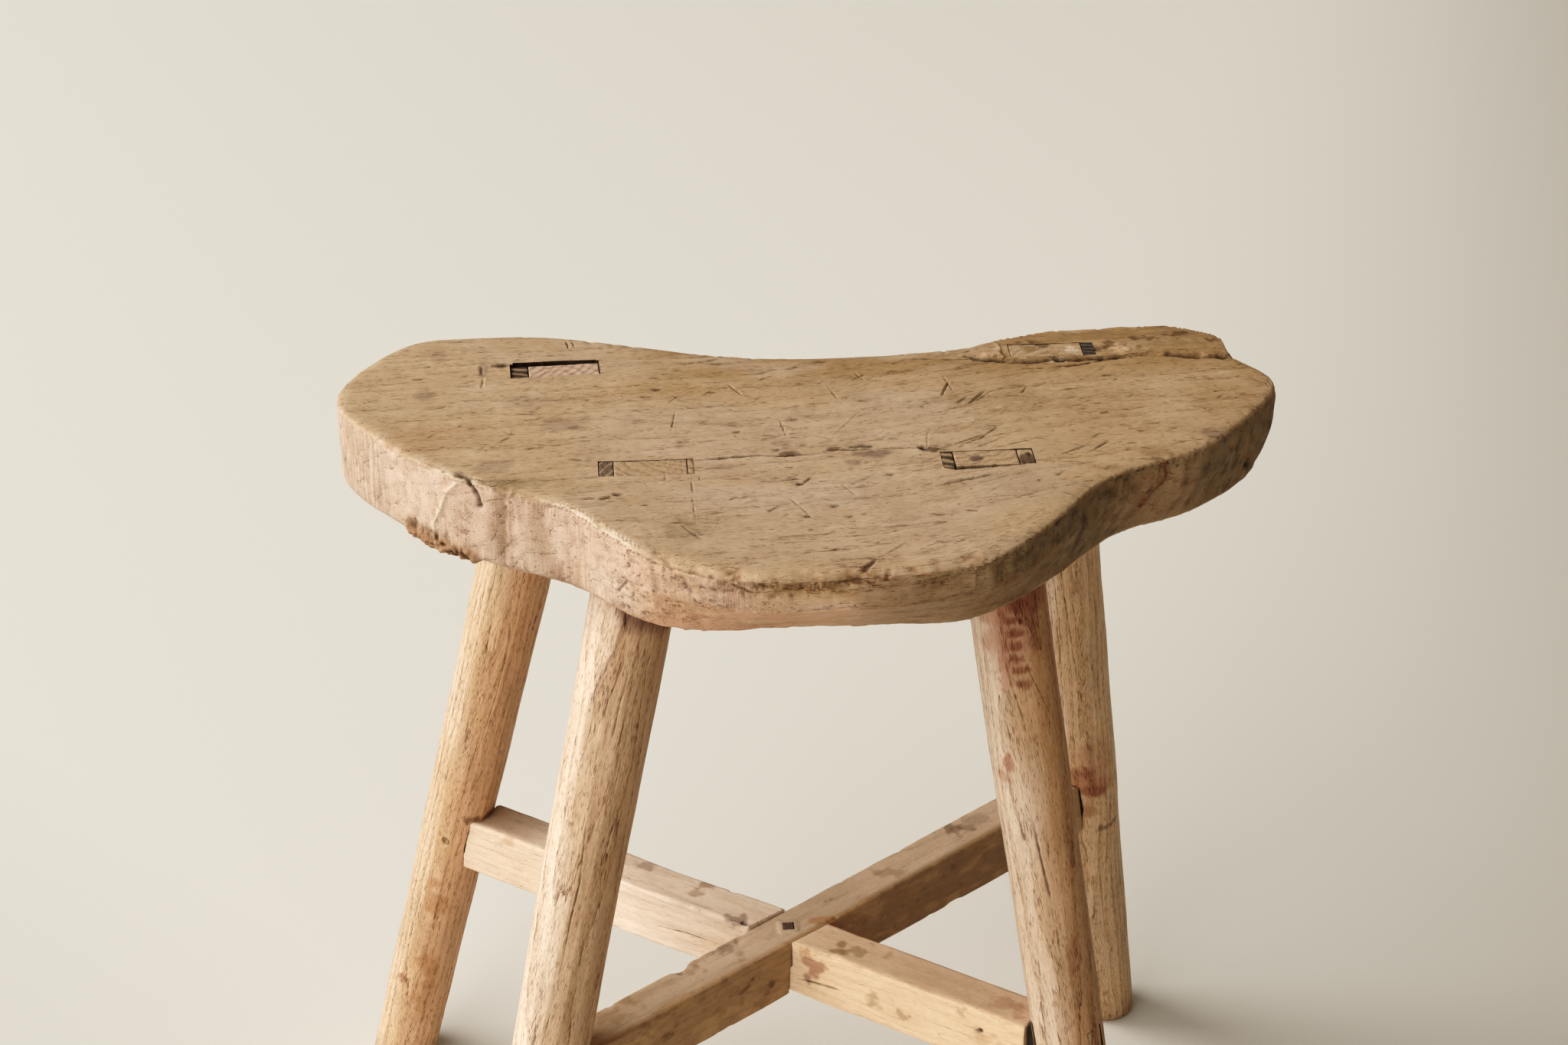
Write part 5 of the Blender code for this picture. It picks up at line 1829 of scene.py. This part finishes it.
CAMERA_PLACE = (-0.1179, -1.1951, 1.1154)
CAMERA_YAW = 0.0953  # to the right of +Y
CAMERA_PITCH = 0.5126  # below level
CAMERA_ROLL = 0.0049
CAMERA_LENS = 63.28


def make_floor():
    size = 12.0
    mesh = bpy.data.meshes.new("floor")
    corners = [(-size, -size, 0), (size, -size, 0), (size, size, 0), (-size, size, 0)]
    mesh.from_pydata(corners, [], [(0, 1, 2, 3)])
    floor = add_object("floor", mesh)
    mesh.materials.append(floor_material())


def make_light(name):
    azimuth, elevation, size, power = LIGHTS[name]
    azimuth, elevation = math.radians(azimuth), math.radians(elevation)
    light = bpy.data.lights.new(name, "AREA")
    light.shape = "DISK"
    light.size = size
    light.energy = power
    light.color = (1.0, 0.99, 0.97)
    level = Vector((math.cos(azimuth), math.sin(azimuth), 0))
    way = level * math.cos(elevation) + Vector((0, 0, math.sin(elevation)))
    lamp = bpy.data.objects.new(name, light)
    lamp.location = way * LIGHT_DISTANCE
    lamp.rotation_euler = way.to_track_quat("Z", "Y").to_euler()
    bpy.context.scene.collection.objects.link(lamp)


def make_room():
    """Faint light from every side."""
    world = bpy.data.worlds.new("room")
    world.use_nodes = True
    background = world.node_tree.nodes["Background"]
    background.inputs["Color"].default_value = AMBIENT_COLOUR
    background.inputs["Strength"].default_value = AMBIENT
    bpy.context.scene.world = world


def grade_picture():
    """A print-like tone curve: deeper and warmer shadows, and the light tones left as they are."""
    settings = bpy.context.scene.view_settings
    settings.view_transform = "Standard"
    settings.use_curve_mapping = True
    curve = settings.curve_mapping.curves[3]
    for x, y in TONE_CURVE:
        curve.points.new(x, y)
    settings.curve_mapping.update()


def make_camera():
    yaw, pitch, roll = CAMERA_YAW, CAMERA_PITCH, CAMERA_ROLL
    forward = Vector((math.sin(yaw) * math.cos(pitch), math.cos(yaw) * math.cos(pitch), -math.sin(pitch)))
    level = Vector((math.cos(yaw), -math.sin(yaw), 0))
    upright = level.cross(forward)
    right = level * math.cos(roll) + upright * math.sin(roll)
    up = upright * math.cos(roll) - level * math.sin(roll)
    camera = bpy.data.cameras.new("camera")
    camera.lens = CAMERA_LENS
    camera.sensor_width = 36.0
    camera.dof.use_dof = False
    eye = bpy.data.objects.new("camera", camera)
    turn = Matrix((right, up, -forward)).transposed().to_4x4()
    eye.matrix_world = Matrix.Translation(CAMERA_PLACE) @ turn
    bpy.context.scene.collection.objects.link(eye)
    bpy.context.scene.camera = eye


def main():
    materials = {name: wood_material(name, look) for name, look in WOODS.items()}
    materials["nail_iron"] = iron_material()
    joint_grime_and_shade_material()
    make_seat(materials["seat_wood"])
    for place, leg in LEGS.items():
        make_leg(place, materials["leg_wood"])
        make_peg(place, materials["leg_wood"])
        for node in leg.packing:
            kind = node.split("_")[0]
            slot_name = {"wedge": "dark_wedge_wood", "filler": "filler_wood", "shim": "leg_wood"}[kind]
            make_packing(leg, node, slot_name, materials[slot_name])
    for node in BARS:
        make_bar(node, materials["stretcher_wood"])
    make_nail(materials["nail_iron"])
    make_floor()
    for name in LIGHTS:
        make_light(name)
    make_room()
    grade_picture()
    make_camera()


main()
